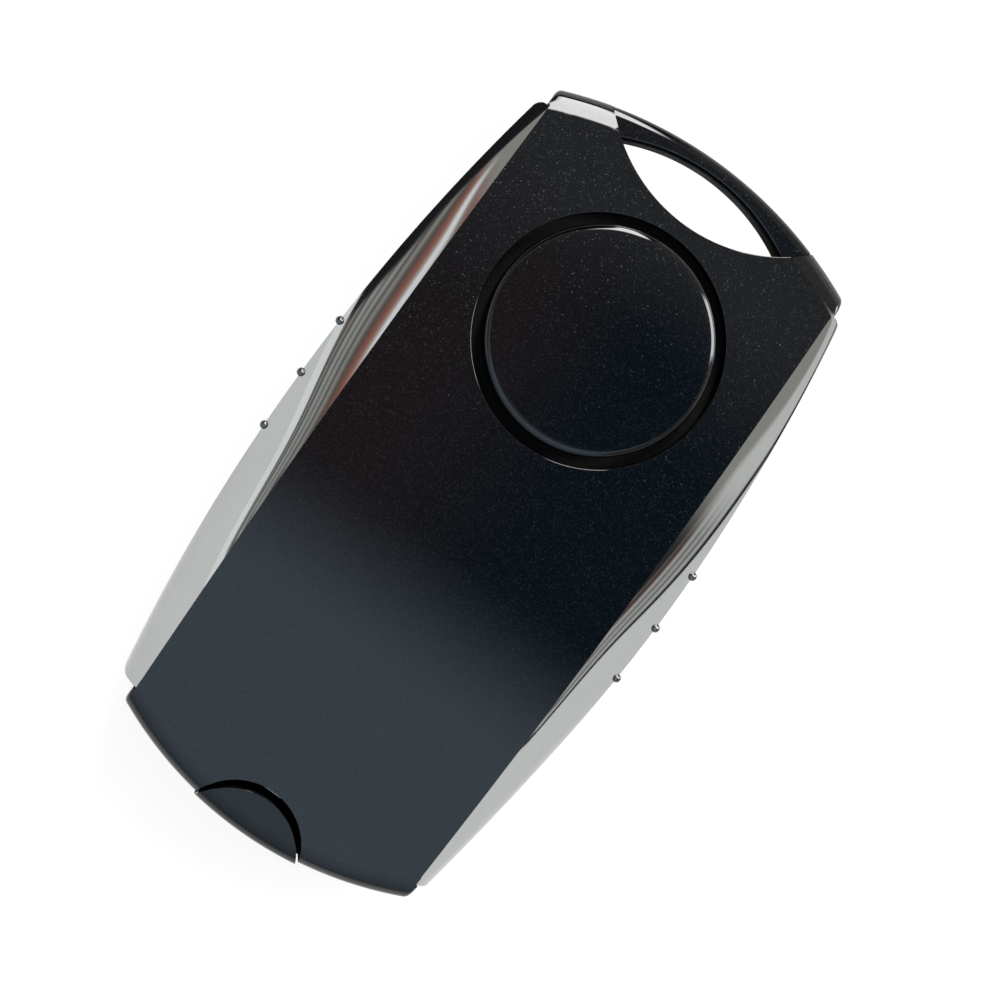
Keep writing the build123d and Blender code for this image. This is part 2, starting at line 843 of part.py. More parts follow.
def all_parts():
    outer = case_outer()
    right_rail = make_right_rail()
    return {
        "front_cover": make_front_cover(outer),
        "rear_shell": make_rear_shell(outer),
        "right_rail": right_rail,
        "left_rail": mirror(right_rail, Plane.YZ),
        "alarm_button": make_button(),
        "button_membrane": make_membrane(),
        "tact_switch": make_switch(),
        "switch_plunger": make_plunger(),
        "switch_terminals": make_switch_terminals(),
        "circuit_board": make_board(),
        "board_screws": make_board_screws(),
        "case_screws": make_case_screws(),
        "port_cover": make_port_cover(),
        "port_hinge_pin": make_hinge_pin(),
        "charging_socket": make_socket(),
        "socket_tongue": make_socket_tongue(),
        "siren_chamber": make_siren_chamber(),
        "siren_diaphragm": make_diaphragm(),
        "siren_ceramic": make_ceramic(),
        "siren_gasket": make_gasket(),
        "siren_contacts": make_siren_contacts(),
        "sound_mesh": make_sound_mesh(),
        "battery_cell": make_battery(),
        "battery_pad": make_battery_pad(),
        "battery_leads": make_battery_leads(),
        "controller_chip": make_chip(),
        "controller_pins": make_chip_pins(),
        "charger_chip": make_charger_chip(),
        "siren_driver": make_driver(),
        "coil_core": make_coil_core(),
        "coil_winding": make_coil_winding(),
        "storage_capacitor": make_storage_capacitor(),
        "chip_capacitors": make_chip_row(capacitor_row_x),
        "chip_resistors": make_chip_row(resistor_row_x),
        "charge_light": make_led(),
    }


def main():
    os.makedirs("parts", exist_ok=True)
    for name, piece in all_parts().items():
        export_step(piece, f"parts/{name}.step")


main()
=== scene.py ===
import bmesh
import bpy
import json
from math import asin, atan2, cos, dist, hypot, pi, radians, sin, sqrt
from mathutils import Matrix, Vector

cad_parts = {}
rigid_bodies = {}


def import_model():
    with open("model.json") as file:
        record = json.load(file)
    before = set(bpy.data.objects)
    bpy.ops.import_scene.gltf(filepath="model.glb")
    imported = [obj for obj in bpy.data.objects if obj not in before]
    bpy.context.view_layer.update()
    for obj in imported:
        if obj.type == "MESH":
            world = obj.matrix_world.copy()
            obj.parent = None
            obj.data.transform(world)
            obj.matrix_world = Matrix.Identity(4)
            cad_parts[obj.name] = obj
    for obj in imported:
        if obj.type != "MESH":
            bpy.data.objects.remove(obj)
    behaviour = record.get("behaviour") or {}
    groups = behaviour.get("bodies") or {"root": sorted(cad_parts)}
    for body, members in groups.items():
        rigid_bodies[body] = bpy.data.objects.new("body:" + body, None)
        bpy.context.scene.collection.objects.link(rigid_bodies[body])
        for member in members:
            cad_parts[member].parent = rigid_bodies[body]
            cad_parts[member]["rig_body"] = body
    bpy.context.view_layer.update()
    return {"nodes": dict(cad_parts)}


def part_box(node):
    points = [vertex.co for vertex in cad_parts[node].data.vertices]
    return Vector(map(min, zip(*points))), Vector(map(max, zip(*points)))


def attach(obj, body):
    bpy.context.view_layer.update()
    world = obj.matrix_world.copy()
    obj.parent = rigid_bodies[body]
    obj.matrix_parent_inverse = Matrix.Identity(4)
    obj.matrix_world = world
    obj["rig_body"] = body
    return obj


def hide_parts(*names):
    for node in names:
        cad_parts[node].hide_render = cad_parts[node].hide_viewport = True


# A pocket personal safety alarm lying on its back.
# +Y runs to the lanyard end, +Z comes out of the button, all lengths in metres.
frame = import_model()
mm = 0.001
print("frame loaded:", len(frame["nodes"]), "nodes")


def boxOf(node):
    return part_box(node)


def millimetres(**lengths):
    return {name: length * mm for name, length in lengths.items()}


# The case's own shape, shared by the cover, the shell, the rails and the port cover
caseShape = {
    **millimetres(
        halfWidth=16.94, widestY=9.8, sideBow=1200, shoulderStep=0.3, cornerRadius=0.7, leastStep=0.06,
        loopRadius=42, lowerEndY=-38.85, lowerRadius=38.5, crescentRadius=16.2, crescentLowY=32.1, wall=1.5,
        partingZ=12.2, crownRadius=617,
    ),
    "loopEndY": boxOf("rear_shell")[1].y,
    "railLowY": boxOf("right_rail")[0].y,
    "railHighY": boxOf("right_rail")[1].y,
    "topZ": boxOf("front_cover")[1].z,
    "cornerReach": 1.4, "cornerSteps": 8, "sideSteps": 40, "endSteps": 40,
}
loopCentreY = caseShape["loopEndY"] - caseShape["loopRadius"]
lowerCentreY = caseShape["lowerEndY"] + caseShape["lowerRadius"]
crescentRadius = caseShape["crescentRadius"]
crescentY = caseShape["crescentLowY"] + crescentRadius
buttonY = (boxOf("alarm_button")[0].y + boxOf("alarm_button")[1].y) / 2
partingZ = caseShape["partingZ"]
topZ = caseShape["topZ"]
closeBy = 0.02 * mm
weldGap = 0.002 * mm
# Sides of the round tools
toolSteps = {"screw": 48, "post": 64, "bay": 192, "ring": 256, "crescent": 320, "end": 720}


def crownHeight(x, y):
    radius = caseShape["crownRadius"]
    return topZ - radius + sqrt(radius**2 - x * x - y * y)


def sideX(y):
    bow = caseShape["sideBow"]
    return caseShape["halfWidth"] - bow + sqrt(bow**2 - (y - caseShape["widestY"]) ** 2)


def spread(low, high, steps):
    return [low + (high - low) * i / steps for i in range(steps + 1)]


def quarterRound(reach, height, steps):
    # From the wall up and in: how far in and how far below the top each step lies.
    return [(reach * (1 - cos(turn)), height * (1 - sin(turn))) for turn in spread(0, pi / 2, steps)]


def turnPoint(centreX, centreY, radius, angle):
    return (centreX + radius * cos(angle), centreY + radius * sin(angle))


def shoulder(lineX, room, endRadius, centreY, way):
    # The rounded corner where the side line meets an end's arc, from the line round to the arc.
    corner = min(caseShape["cornerRadius"], caseShape["cornerReach"] * room)
    turnX = lineX - corner
    turnY = centreY + way * sqrt((endRadius - corner) ** 2 - turnX**2)
    last = atan2(way * (turnY - centreY), turnX)
    return [turnPoint(turnX, turnY, corner, way * angle) for angle in spread(0, last, caseShape["cornerSteps"])]


def sideEnd(stepY, grow, endRadius, centreY, way):
    # Where the side stops: the step's place and size, both kept clear of the end's arc.
    least = caseShape["leastStep"]
    room = way * (centreY + way * sqrt(endRadius**2 - (sideX(stepY) + grow) ** 2) - stepY)
    if room < least:
        grow = least if grow > 0 else grow
        stepY = centreY + way * (sqrt(endRadius**2 - (sideX(stepY) + grow) ** 2) - least)
        room = least
    return stepY, grow, room


def heldBack(points, limitX):
    # Each run of points past the limit is spread evenly along it.
    held = [x > limitX for x, y in points] + [False]
    first = None
    for i, past in enumerate(held):
        if past and first is None:
            first = i
        if not past and first is not None:
            levels = spread(points[first][1], points[i - 1][1], max(1, i - 1 - first))
            points[first:i] = [(limitX, y) for y in levels[:i - first]]
            first = None
    return points


def caseOutline(endInset=0.0, sideInset=0.0, limitX=1.0, step=True):
    # Once round the case, with the small step at each rail's end. The right side is made, then mirrored.
    size = caseShape
    grow = size["shoulderStep"] if step else -sideInset
    lowerRadius = size["lowerRadius"] - endInset
    loopRadius = size["loopRadius"] - endInset
    lowY, lowGrow, lowRoom = sideEnd(size["railLowY"], grow, lowerRadius, lowerCentreY, -1)
    highY, highGrow, highRoom = sideEnd(size["railHighY"], grow, loopRadius, loopCentreY, 1)
    lower = shoulder(sideX(lowY) + lowGrow, lowRoom, lowerRadius, lowerCentreY, -1)
    loop = shoulder(sideX(highY) + highGrow, highRoom, loopRadius, loopCentreY, 1)
    lowerAngles = spread(0, atan2(lower[-1][0], lowerCentreY - lower[-1][1]), size["endSteps"])
    loopAngles = spread(0, atan2(loop[-1][0], loop[-1][1] - loopCentreY), size["endSteps"])
    right = [(lowerRadius * sin(a), lowerCentreY - lowerRadius * cos(a)) for a in lowerAngles[:-1]]
    right += lower[::-1]
    if step:
        right += [(sideX(lowY) + lowGrow, lowY)]
    right += [(sideX(y) - sideInset, y) for y in spread(lowY, highY, size["sideSteps"])]
    if step:
        right += [(sideX(highY) + highGrow, highY)]
    right += loop
    right += [(loopRadius * sin(a), loopCentreY + loopRadius * cos(a)) for a in loopAngles[:-1][::-1]]
    right = heldBack(right, limitX)
    return right + [(-x, y) for x, y in right[::-1][1:-1]]


# Small modelling helpers
def clearSelection():
    bpy.ops.object.select_all(action="DESELECT")


def activate(*pieces):
    # Only these pieces are selected, the first one active.
    clearSelection()
    for piece in pieces:
        piece.select_set(True)
    bpy.context.view_layer.objects.active = pieces[0]


def editPiece(piece):
    activate(piece)
    bpy.ops.object.mode_set(mode="EDIT")


def leaveEdit():
    bpy.ops.object.mode_set(mode="OBJECT")


def pickEdges(piece, test):
    bpy.ops.mesh.select_mode(type="EDGE")
    bpy.ops.mesh.select_all(action="DESELECT")
    mesh = bmesh.from_edit_mesh(piece.data)
    for edge in mesh.edges:
        if test(edge.verts[0].co, edge.verts[1].co):
            edge.select_set(True)
    bmesh.update_edit_mesh(piece.data)


def pickAll():
    bpy.ops.mesh.select_all(action="SELECT")


def faceOutward():
    pickAll()
    bpy.ops.mesh.normals_make_consistent(inside=False)
    leaveEdit()


def weldPoints(gap=weldGap):
    pickAll()
    bpy.ops.mesh.remove_doubles(threshold=gap)


def tidyNormals(piece):
    editPiece(piece)
    weldPoints()
    faceOutward()


def newestPiece(name):
    # The primitive just added, with its place and size applied.
    piece = bpy.context.active_object
    piece.name = name
    bpy.ops.object.transform_apply(location=True, rotation=True, scale=True)
    return piece


def stackRings(name, rings):
    # A filled circle takes the first ring's shape, then each extrusion takes the next one's.
    clearSelection()
    bpy.ops.mesh.primitive_circle_add(vertices=len(rings[0][0]), radius=mm, fill_type="NGON")
    piece = newestPiece(name)
    shapeRing(piece, *rings[0])
    editPiece(piece)
    bpy.ops.mesh.select_mode(type="VERT")
    pickAll()
    leaveEdit()
    for outline, z in rings[1:]:
        editPiece(piece)
        bpy.ops.mesh.extrude_region_move(TRANSFORM_OT_translate={"value": (0, 0, mm)})
        leaveEdit()
        shapeRing(piece, outline, z)
    editPiece(piece)
    faceOutward()
    return piece


def shapeRing(piece, outline, z):
    # The newest ring is the last set of points, in the order of the circle.
    for vertex, (x, y) in zip(list(piece.data.vertices)[-len(outline):], outline):
        vertex.co = (x, y, z)


def prismFrom(name, outline, low, high):
    return stackRings(name, [(outline, low), (outline, high)])


def roundBar(name, radius, x, y, low, high, tool):
    clearSelection()
    middle = (x, y, (low + high) / 2)
    steps = toolSteps[tool]
    bpy.ops.mesh.primitive_cylinder_add(vertices=steps, radius=radius, depth=high - low, location=middle)
    return newestPiece(name)


def crossBar(name, radius, lowX, highX, y, z):
    clearSelection()
    bpy.ops.mesh.primitive_cylinder_add(
        vertices=toolSteps["post"],
        radius=radius,
        depth=highX - lowX,
        location=((lowX + highX) / 2, y, z),
        rotation=(0, pi / 2, 0),
    )
    return newestPiece(name)


def boxBar(name, halfX, lowY, highY, low, high, x=0.0):
    clearSelection()
    middle = (x, (lowY + highY) / 2, (low + high) / 2)
    bpy.ops.mesh.primitive_cube_add(size=1, location=middle, scale=(2 * halfX, highY - lowY, high - low))
    return newestPiece(name)


def applyModifier(piece, modifier):
    activate(piece)
    bpy.ops.object.modifier_apply(modifier=modifier.name)


def combine(piece, tool, how="DIFFERENCE"):
    boolean = piece.modifiers.new("combine", "BOOLEAN")
    boolean.operation = how
    boolean.solver = "EXACT"
    boolean.object = tool
    applyModifier(piece, boolean)
    bpy.data.objects.remove(tool)
    return piece


def bore(piece, radius, y, tool, low=0.0, high=2 * topZ, x=0.0):
    combine(piece, roundBar("cut", radius, x, y, low, high, tool))


def bevelWhere(piece, test, width, segments):
    editPiece(piece)
    pickEdges(piece, test)
    bpy.ops.mesh.bevel(offset=width, segments=segments, affect="EDGES", clamp_overlap=False)
    leaveEdit()


def sliceGrid(piece, spacing, reachX, lowY, highY):
    # Parallel cuts give the big flat faces enough points to follow the crown.
    editPiece(piece)
    for x in spread(-reachX, reachX, round(2 * reachX / spacing)):
        pickAll()
        bpy.ops.mesh.bisect(plane_co=(x, 0, 0), plane_no=(1, 0, 0))
    for y in spread(lowY, highY, round((highY - lowY) / spacing)):
        pickAll()
        bpy.ops.mesh.bisect(plane_co=(0, y, 0), plane_no=(0, 1, 0))
    leaveEdit()


def smoothByAngle(piece, degrees):
    activate(piece)
    bpy.ops.object.shade_smooth_by_angle(angle=radians(degrees))


def smoothPiece(piece, degrees):
    # Weighted normals keep the big faces even.
    smoothByAngle(piece, degrees)
    weighted = piece.modifiers.new("weighted", "WEIGHTED_NORMAL")
    weighted.keep_sharp = True
    applyModifier(piece, weighted)


def fitPiece(piece, name, node, material, painted=None):
    piece.name = name
    piece.data.name = name
    piece.data.materials.clear()
    piece.data.materials.append(material)
    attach(piece, frame["nodes"][node]["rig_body"])
    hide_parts(node)
    if painted:
        # Faces that no paint reaches show the bare black plastic.
        piece.data.materials.append(barePlastic)
        for face in piece.data.polygons:
            face.material_index = 0 if painted(face.center) else 1
    print("piece", name, len(piece.data.polygons), "faces")


# Materials
nodeSpacing = 200


def newMaterial(name):
    material = bpy.data.materials.new(name)
    material.use_nodes = True
    tree = material.node_tree
    shader = tree.nodes["Principled BSDF"]
    return material, tree, shader


def rgba(color):
    # A single number is a grey.
    return (color, color, color, 1) if isinstance(color, (int, float)) else (*color, 1)


def feed(tree, node, inputs):
    # Each input is linked to another node's output or given its value.
    for key, value in inputs.items():
        socket = node.inputs[key]
        if isinstance(value, bpy.types.NodeSocket):
            tree.links.new(value, socket)
        else:
            socket.default_value = rgba(value) if socket.type == "RGBA" else value


def addNode(tree, kind, inputs=None, **values):
    node = tree.nodes.new("ShaderNode" + kind)
    node.location = (nodeSpacing * len(tree.nodes), 0)
    for key, value in values.items():
        setattr(node, key, value)
    feed(tree, node, inputs or {})
    return node


def mathNode(tree, operation, *values):
    return addNode(tree, "Math", dict(enumerate(values)), operation=operation).outputs[0]


def chain(tree, operation, values):
    # The operation over all the values, one after the other.
    result = values[0]
    for value in values[1:]:
        result = mathNode(tree, operation, result, value)
    return result


def vectorNode(tree, operation, *values):
    return addNode(tree, "VectorMath", dict(enumerate(values)), operation=operation).outputs[0]


def stepNode(tree, value, low, high):
    # A smooth step from 0 at low to 1 at high, either way round.
    first, last = (0.0, 1.0) if low < high else (1.0, 0.0)
    inputs = {"Value": value, "From Min": min(low, high), "From Max": max(low, high), "To Min": first, "To Max": last}
    return addNode(tree, "MapRange", inputs, interpolation_type="SMOOTHSTEP").outputs[0]


def blendNode(tree, factor, first, second):
    inputs = {"Factor": factor, "A": first, "B": second}
    return addNode(tree, "Mix", inputs, data_type="RGBA").outputs["Result"]


def newGroup(name, inputs, outputs):
    group = bpy.data.node_groups.new(name, "ShaderNodeTree")
    for way, sockets in (("INPUT", inputs), ("OUTPUT", outputs)):
        for label, kind in sockets.items():
            group.interface.new_socket(label, in_out=way, socket_type="NodeSocket" + kind)
    return group, group.nodes.new("NodeGroupInput").outputs, group.nodes.new("NodeGroupOutput")


def makeFlakeGroup():
    # Fine metal flake: each cell of the pattern is one flake with its own tilt and strength.
    inputs = {"Cell Size": "Float", "Share": "Float", "Tilt": "Float", "Paint": "Color", "Flake": "Color"}
    group, given, leave = newGroup("paintFlake", inputs, {"Color": "Color", "Mask": "Float", "Normal": "Vector"})
    flakeRim, flakeCore, sparklePower, middleTone = 0.5, 0.2, 2.0, (0.5, 0.5, 0.5)
    place = addNode(group, "TexCoord").outputs["Object"]
    scale = mathNode(group, "DIVIDE", 1.0, given["Cell Size"])
    cells = addNode(group, "TexVoronoi", {"Vector": place, "Scale": scale}).outputs
    parts = addNode(group, "SeparateColor", {0: cells["Color"]}).outputs
    chosen = mathNode(group, "LESS_THAN", parts[0], given["Share"])
    body = stepNode(group, cells["Distance"], flakeRim, flakeCore)
    strength = chain(group, "MULTIPLY", [chosen, body, mathNode(group, "POWER", parts[1], sparklePower)])
    normal = addNode(group, "NewGeometry").outputs["Normal"]
    centred = vectorNode(group, "SUBTRACT", cells["Color"], middleTone)
    inputs = {0: centred, "Scale": given["Tilt"]}
    tilted = addNode(group, "VectorMath", inputs, operation="SCALE").outputs[0]
    feed(group, leave, {
        "Color": blendNode(group, strength, given["Paint"], given["Flake"]),
        "Mask": strength,
        "Normal": vectorNode(group, "NORMALIZE", vectorNode(group, "ADD", normal, tilted)),
    })
    return group


def makeGrainGroup():
    # Soft mottling of colour and roughness with a fine height for the bump.
    inputs = {"scale": "Float", "dark": "Color", "light": "Color", "stretch": "Vector", "low": "Float", "high": "Float"}
    outputs = {"Color": "Color", "Roughness": "Float", "Height": "Float"}
    group, given, leave = newGroup("surfaceGrain", inputs, outputs)
    fineness, broadDetail, fineDetail, broadShare, fineShare, low, high = 9.0, 3, 2, 0.65, 0.35, 0.35, 0.65
    place = addNode(group, "TexCoord").outputs["Object"]
    stretched = vectorNode(group, "MULTIPLY", place, given["stretch"])

    def noise(scale, detail):
        return addNode(group, "TexNoise", {"Vector": stretched, "Scale": scale, "Detail": detail}).outputs[0]

    broad = noise(given["scale"], broadDetail)
    fine = noise(mathNode(group, "MULTIPLY", given["scale"], fineness), fineDetail)
    blended = mathNode(group, "MULTIPLY_ADD", fine, fineShare, mathNode(group, "MULTIPLY", broad, broadShare))
    sharper = addNode(group, "MapRange", {"Value": blended, "From Min": low, "From Max": high}).outputs[0]
    inputs = {"Factor": sharper, "A": given["low"], "B": given["high"]}
    feed(group, leave, {
        "Color": blendNode(group, sharper, given["dark"], given["light"]),
        "Roughness": addNode(group, "Mix", inputs, data_type="FLOAT").outputs[0],
        "Height": fine,
    })
    return group


flakeGroup = makeFlakeGroup()
grainGroup = makeGrainGroup()
grainDefaults = {"stretch": (1, 1, 1), "bump": 0.1, "bumpDepth": 0.02 * mm, "metal": 0.0, "specular": 0.5,
                 "edgeTint": 1.0}


def makeLacquer(name, coatIor, look):
    material, tree, shader = newMaterial(name)
    flakes = addNode(tree, "Group", {**lacquerFlakes, **look}, node_tree=flakeGroup).outputs
    inputs = {"Base Color": flakes["Color"], "Metallic": flakes["Mask"], "Normal": flakes["Normal"]}
    feed(tree, shader, {**lacquerCoat, **inputs, "Coat IOR": coatIor})
    return material


def makeGrained(name, settings):
    material, tree, shader = newMaterial(name)
    inputs = {label: settings[label] for label in ("scale", "dark", "light", "stretch")}
    low, high = settings["rough"]
    grain = addNode(tree, "Group", {**inputs, "low": low, "high": high}, node_tree=grainGroup).outputs
    inputs = {"Strength": settings["bump"], "Distance": settings["bumpDepth"], "Height": grain["Height"]}
    feed(tree, shader, {
        "Base Color": grain["Color"],
        "Roughness": grain["Roughness"],
        "Normal": addNode(tree, "Bump", inputs).outputs["Normal"],
        "Metallic": settings["metal"],
        "Specular IOR Level": settings["specular"],
        "Specular Tint": settings["edgeTint"],
    })
    return material


def plain(dark, light, rough, scale, **more):
    return {**grainDefaults, "dark": dark, "light": light, "rough": rough, "scale": scale, **more}


def metal(*look, **more):
    return plain(*look, metal=1.0, **more)


lacquerFlakes = {"Cell Size": 0.16 * mm, "Tilt": 0.25, "Paint": (0.0009, 0.0010, 0.0012)}
lacquerCoat = {"Roughness": 0.22, "Specular IOR Level": 0.0, "Coat Weight": 1.0, "Coat Roughness": 0.035}
caseLacquer = makeLacquer("caseLacquer", 1.5, {"Share": 0.85, "Flake": (0.016, 0.0165, 0.017)})
portLacquer = makeLacquer("portLacquer", 1.43, {"Share": 0.5, "Flake": (0.008, 0.0083, 0.0086)})
plasticLook = plain((0.0012, 0.0012, 0.0014), (0.0026, 0.0026, 0.0028), (0.55, 0.7), 500, specular=0.12)
barePlastic = makeGrained("barePlastic", plasticLook)
chromeLook = metal((0.42, 0.433, 0.43), (0.45, 0.463, 0.46), (0.04, 0.06), 60, edgeTint=0.8, bump=0.0)
railChrome = makeGrained("railChrome", chromeLook)
pipMetal = makeGrained("pipMetal", metal(0.10, 0.16, (0.18, 0.3), 900))


# Front cover
coverSettings = {
    **millimetres(
        skin=1.6, endRound=1.7, endReach=2.3, seamBreak=0.15, ringRadius=12.15, wellRadius=12.75, wellDepth=2.4,
        collarRadius=13.9, collarZ=11.63, portCutRadius=6.31, portCutLowY=-34.05, bayWall=1.1, postRadius=2.2,
        postZ=9.25, screwRadius=0.89, screwTop=14.0, screwX=13.04, holeBreak=0.05, gridSpacing=1.6, gridX=16,
        gridY=36.8, overlap=0.5, paintEdge=0.05, paintDepth=0.2,
    ),
    "screwY": (30.3 * mm, -30.2 * mm),
    "endSegments": 16, "breakSegments": 3, "smoothDegrees": 10,
}
portRadius = coverSettings["portCutRadius"]
portY = coverSettings["portCutLowY"] - portRadius
coverHoles = ((coverSettings["ringRadius"], buttonY), (crescentRadius, crescentY), (portRadius, portY))


def onCircle(co, radius, centreY, slack=closeBy):
    return abs(hypot(co.x, co.y - centreY) - radius) < slack


def screwPlaces():
    return [(side * coverSettings["screwX"], y) for side in (-1, 1) for y in coverSettings["screwY"]]


def drillScrews(piece, radius, low, high):
    for x, y in screwPlaces():
        bore(piece, radius, y, "screw", low, high, x)


def innerRoom(low, high):
    # The room inside the case, clear of the crescent's wall and of the port's bay.
    wall = caseShape["wall"]
    room = prismFrom("room", caseOutline(wall, wall, step=False), low, high)
    bore(room, crescentRadius + wall, crescentY, "bay", -mm)
    bore(room, portRadius + coverSettings["bayWall"], portY, "bay", -mm)
    return room


def sinkToCrown(piece):
    # The flat top face takes the crown's height, the round under it goes with it, and the walls make up the rest.
    firm = coverSettings["endRound"]
    for vertex in piece.data.vertices:
        depth = topZ - vertex.co.z
        drop = topZ - crownHeight(vertex.co.x, vertex.co.y)
        if vertex.co.z <= partingZ:
            continue
        share = min(1.0, (vertex.co.z - partingZ) / (topZ - firm - partingZ))
        vertex.co.z -= drop * share if depth > firm else drop


def makeFrontCover():
    size = coverSettings
    rings = [(caseOutline(size["seamBreak"]), partingZ), (caseOutline(), partingZ + size["seamBreak"])]
    for inset, low in quarterRound(size["endReach"], size["endRound"], size["endSegments"]):
        rings.append((caseOutline(inset), topZ - low))
    cover = stackRings("coverBlock", rings)
    room = innerRoom(partingZ - mm, topZ - size["skin"])
    bore(room, size["collarRadius"], buttonY, "bay")
    for x, y in screwPlaces():
        bore(room, size["postRadius"], y, "post", x=x)
    combine(cover, room)
    joinZ = partingZ + size["overlap"]
    for x, y in screwPlaces():
        post = roundBar("post", size["postRadius"], x, y, size["postZ"], joinZ, "post")
        combine(cover, post, "UNION")
    drillScrews(cover, size["screwRadius"], 0, size["screwTop"])
    collar = roundBar("collar", size["collarRadius"], 0, buttonY, size["collarZ"], joinZ, "ring")
    combine(cover, collar, "UNION")
    bore(cover, crescentRadius, crescentY, "crescent")
    bore(cover, portRadius, portY, "bay")
    bore(cover, size["ringRadius"], buttonY, "ring")
    bore(cover, size["wellRadius"], buttonY, "ring", high=topZ - size["wellDepth"])

    def holeRim(a, b):
        top = min(a.z, b.z) > topZ - closeBy / 2
        return top and any(onCircle(a, r, y) and onCircle(b, r, y) for r, y in coverHoles)

    bevelWhere(cover, holeRim, size["holeBreak"], size["breakSegments"])
    sliceGrid(cover, size["gridSpacing"], size["gridX"], -size["gridY"], size["gridY"])
    sinkToCrown(cover)
    tidyNormals(cover)
    smoothPiece(cover, size["smoothDegrees"])
    fitPiece(cover, "coverShell", "front_cover", caseLacquer, onCoverFace)


def fromOutline(c):
    # How far inside the end walls and the sides a point lies, whichever is nearer.
    loop = caseShape["loopRadius"] - hypot(c.x, c.y - loopCentreY)
    lower = caseShape["lowerRadius"] - hypot(c.x, c.y - lowerCentreY)
    return min(sideX(c.y) - abs(c.x), loop if c.y > 0 else lower)


def onCoverFace(c):
    size = coverSettings
    if any(hypot(c.x, c.y - y) < radius + closeBy for radius, y in coverHoles):
        return False
    edge = fromOutline(c)
    top = crownHeight(c.x, c.y) - c.z
    onRound = edge < size["endReach"] + mm and top < size["endRound"]
    return edge < size["paintEdge"] or top < size["paintDepth"] or onRound


# Rear shell and its bail
shellSettings = {
    **millimetres(
        slack=0.1, paintRise=0.3, bailFoot=10, baySlack=0.05, floor=1.6, baseRound=2.2, baseHalfWidth=17.34,
        postTop=9.2, bailThick=3.2, bailInnerRadius=20.3, bailInnerY=37.5, bailGap=0.12, bailOuterRound=0.9,
        bailInnerRound=0.35, bayLow=6.0, windowHalf=3.9, windowLow=8.65, windowHigh=11.55, headRecess=1.8,
        headDepth=1.6, slotWidth=1.3, slotPitch=2.9, slotField=8.2, windowLowY=-35.6, windowHighY=-32.4,
        bailReach=0.3, lugGap=0.12, lugReach=0.6, overlap=0.5,
    ),
    "bailTop": boxOf("rear_shell")[1].z,
    "baseReach": 1.02, "wallReach": 0.03,
    "slotCount": 5, "baseSteps": 10, "bailSteps": 8, "bailArcSteps": 96, "slotSteps": 16, "smoothDegrees": 32,
}
sirenY = (boxOf("siren_chamber")[0].y + boxOf("siren_chamber")[1].y) / 2
bailOpenY = shellSettings["bailInnerY"] - shellSettings["bailInnerRadius"]
bailLowZ = shellSettings["bailTop"] - shellSettings["bailThick"]


def shellBlock():
    size = shellSettings
    rings = []
    for inset, z in quarterRound(size["baseRound"], size["baseRound"], size["baseSteps"])[::-1]:
        rings.append((caseOutline(inset, limitX=size["baseHalfWidth"] - inset), z))
    rings.append((caseOutline(), partingZ))
    return stackRings("shellBlock", rings)


def slotBar(x, reach):
    size = shellSettings
    radius, steps = size["slotWidth"] / 2, size["slotSteps"]
    high = [turnPoint(x, sirenY + reach, radius, a) for a in spread(0, pi, steps)]
    low = [turnPoint(x, sirenY - reach, radius, a) for a in spread(pi, 2 * pi, steps)]
    return prismFrom("cut", high + low, -mm, size["floor"] + size["overlap"])


def bailArcs(outer, inner, reach):
    # The bail's own plan: along the end's arc and back along the loop's inner arc.
    radius, innerRadius = caseShape["loopRadius"] - outer, shellSettings["bailInnerRadius"] + inner
    steps = shellSettings["bailArcSteps"]
    there = [(x, loopCentreY + sqrt(radius**2 - x * x)) for x in spread(reach, -reach, steps)]
    back = [(x, bailOpenY + sqrt(innerRadius**2 - x * x)) for x in spread(-reach, reach, steps)]
    return there + back


def makeBail():
    size = shellSettings
    reach = crescentRadius + size["bailReach"]
    rings = [(bailArcs(0, 0, reach), partingZ)]
    outer, inner = size["bailOuterRound"], size["bailInnerRound"]
    for inset, low in quarterRound(outer, outer, size["bailSteps"]):
        rings.append((bailArcs(inset, inset * inner / outer, reach), size["bailTop"] - low))
    bail = stackRings("bailBlock", rings)
    inside = roundBar("tool", crescentRadius - size["bailGap"], 0, crescentY, 0, 2 * topZ, "crescent")
    return combine(bail, inside, "INTERSECT")


def makeRearShell():
    size = shellSettings
    shell = shellBlock()
    room = innerRoom(size["floor"], partingZ + mm)
    for x, y in screwPlaces():
        bore(room, coverSettings["postRadius"], y, "post", 0, size["postTop"], x)
    combine(shell, room)
    bore(shell, crescentRadius, crescentY, "crescent", -mm, bailLowZ)
    lens = roundBar("cut", crescentRadius, 0, crescentY, bailLowZ - mm, partingZ + mm, "crescent")
    combine(lens, roundBar("tool", size["bailInnerRadius"], 0, bailOpenY, 0, 2 * topZ, "crescent"), "INTERSECT")
    combine(shell, lens)
    bay = roundBar("cut", portRadius, 0, portY, size["bayLow"], 2 * topZ, "bay")
    spareLugs(bay)
    combine(shell, bay)
    window = (size["windowLowY"], size["windowHighY"], size["windowLow"], size["windowHigh"])
    combine(shell, boxBar("cut", size["windowHalf"], *window))
    drillScrews(shell, size["headRecess"], -mm, size["headDepth"])
    for i in range(size["slotCount"]):
        x = (i - (size["slotCount"] - 1) / 2) * size["slotPitch"]
        combine(shell, slotBar(x, sqrt(size["slotField"] ** 2 - x * x) - size["slotWidth"] / 2))
    tidyNormals(shell)
    activate(shell, makeBail())
    bpy.ops.object.join()
    smoothPiece(shell, size["smoothDegrees"])
    fitPiece(shell, "backShell", "rear_shell", caseLacquer, onShellFace)


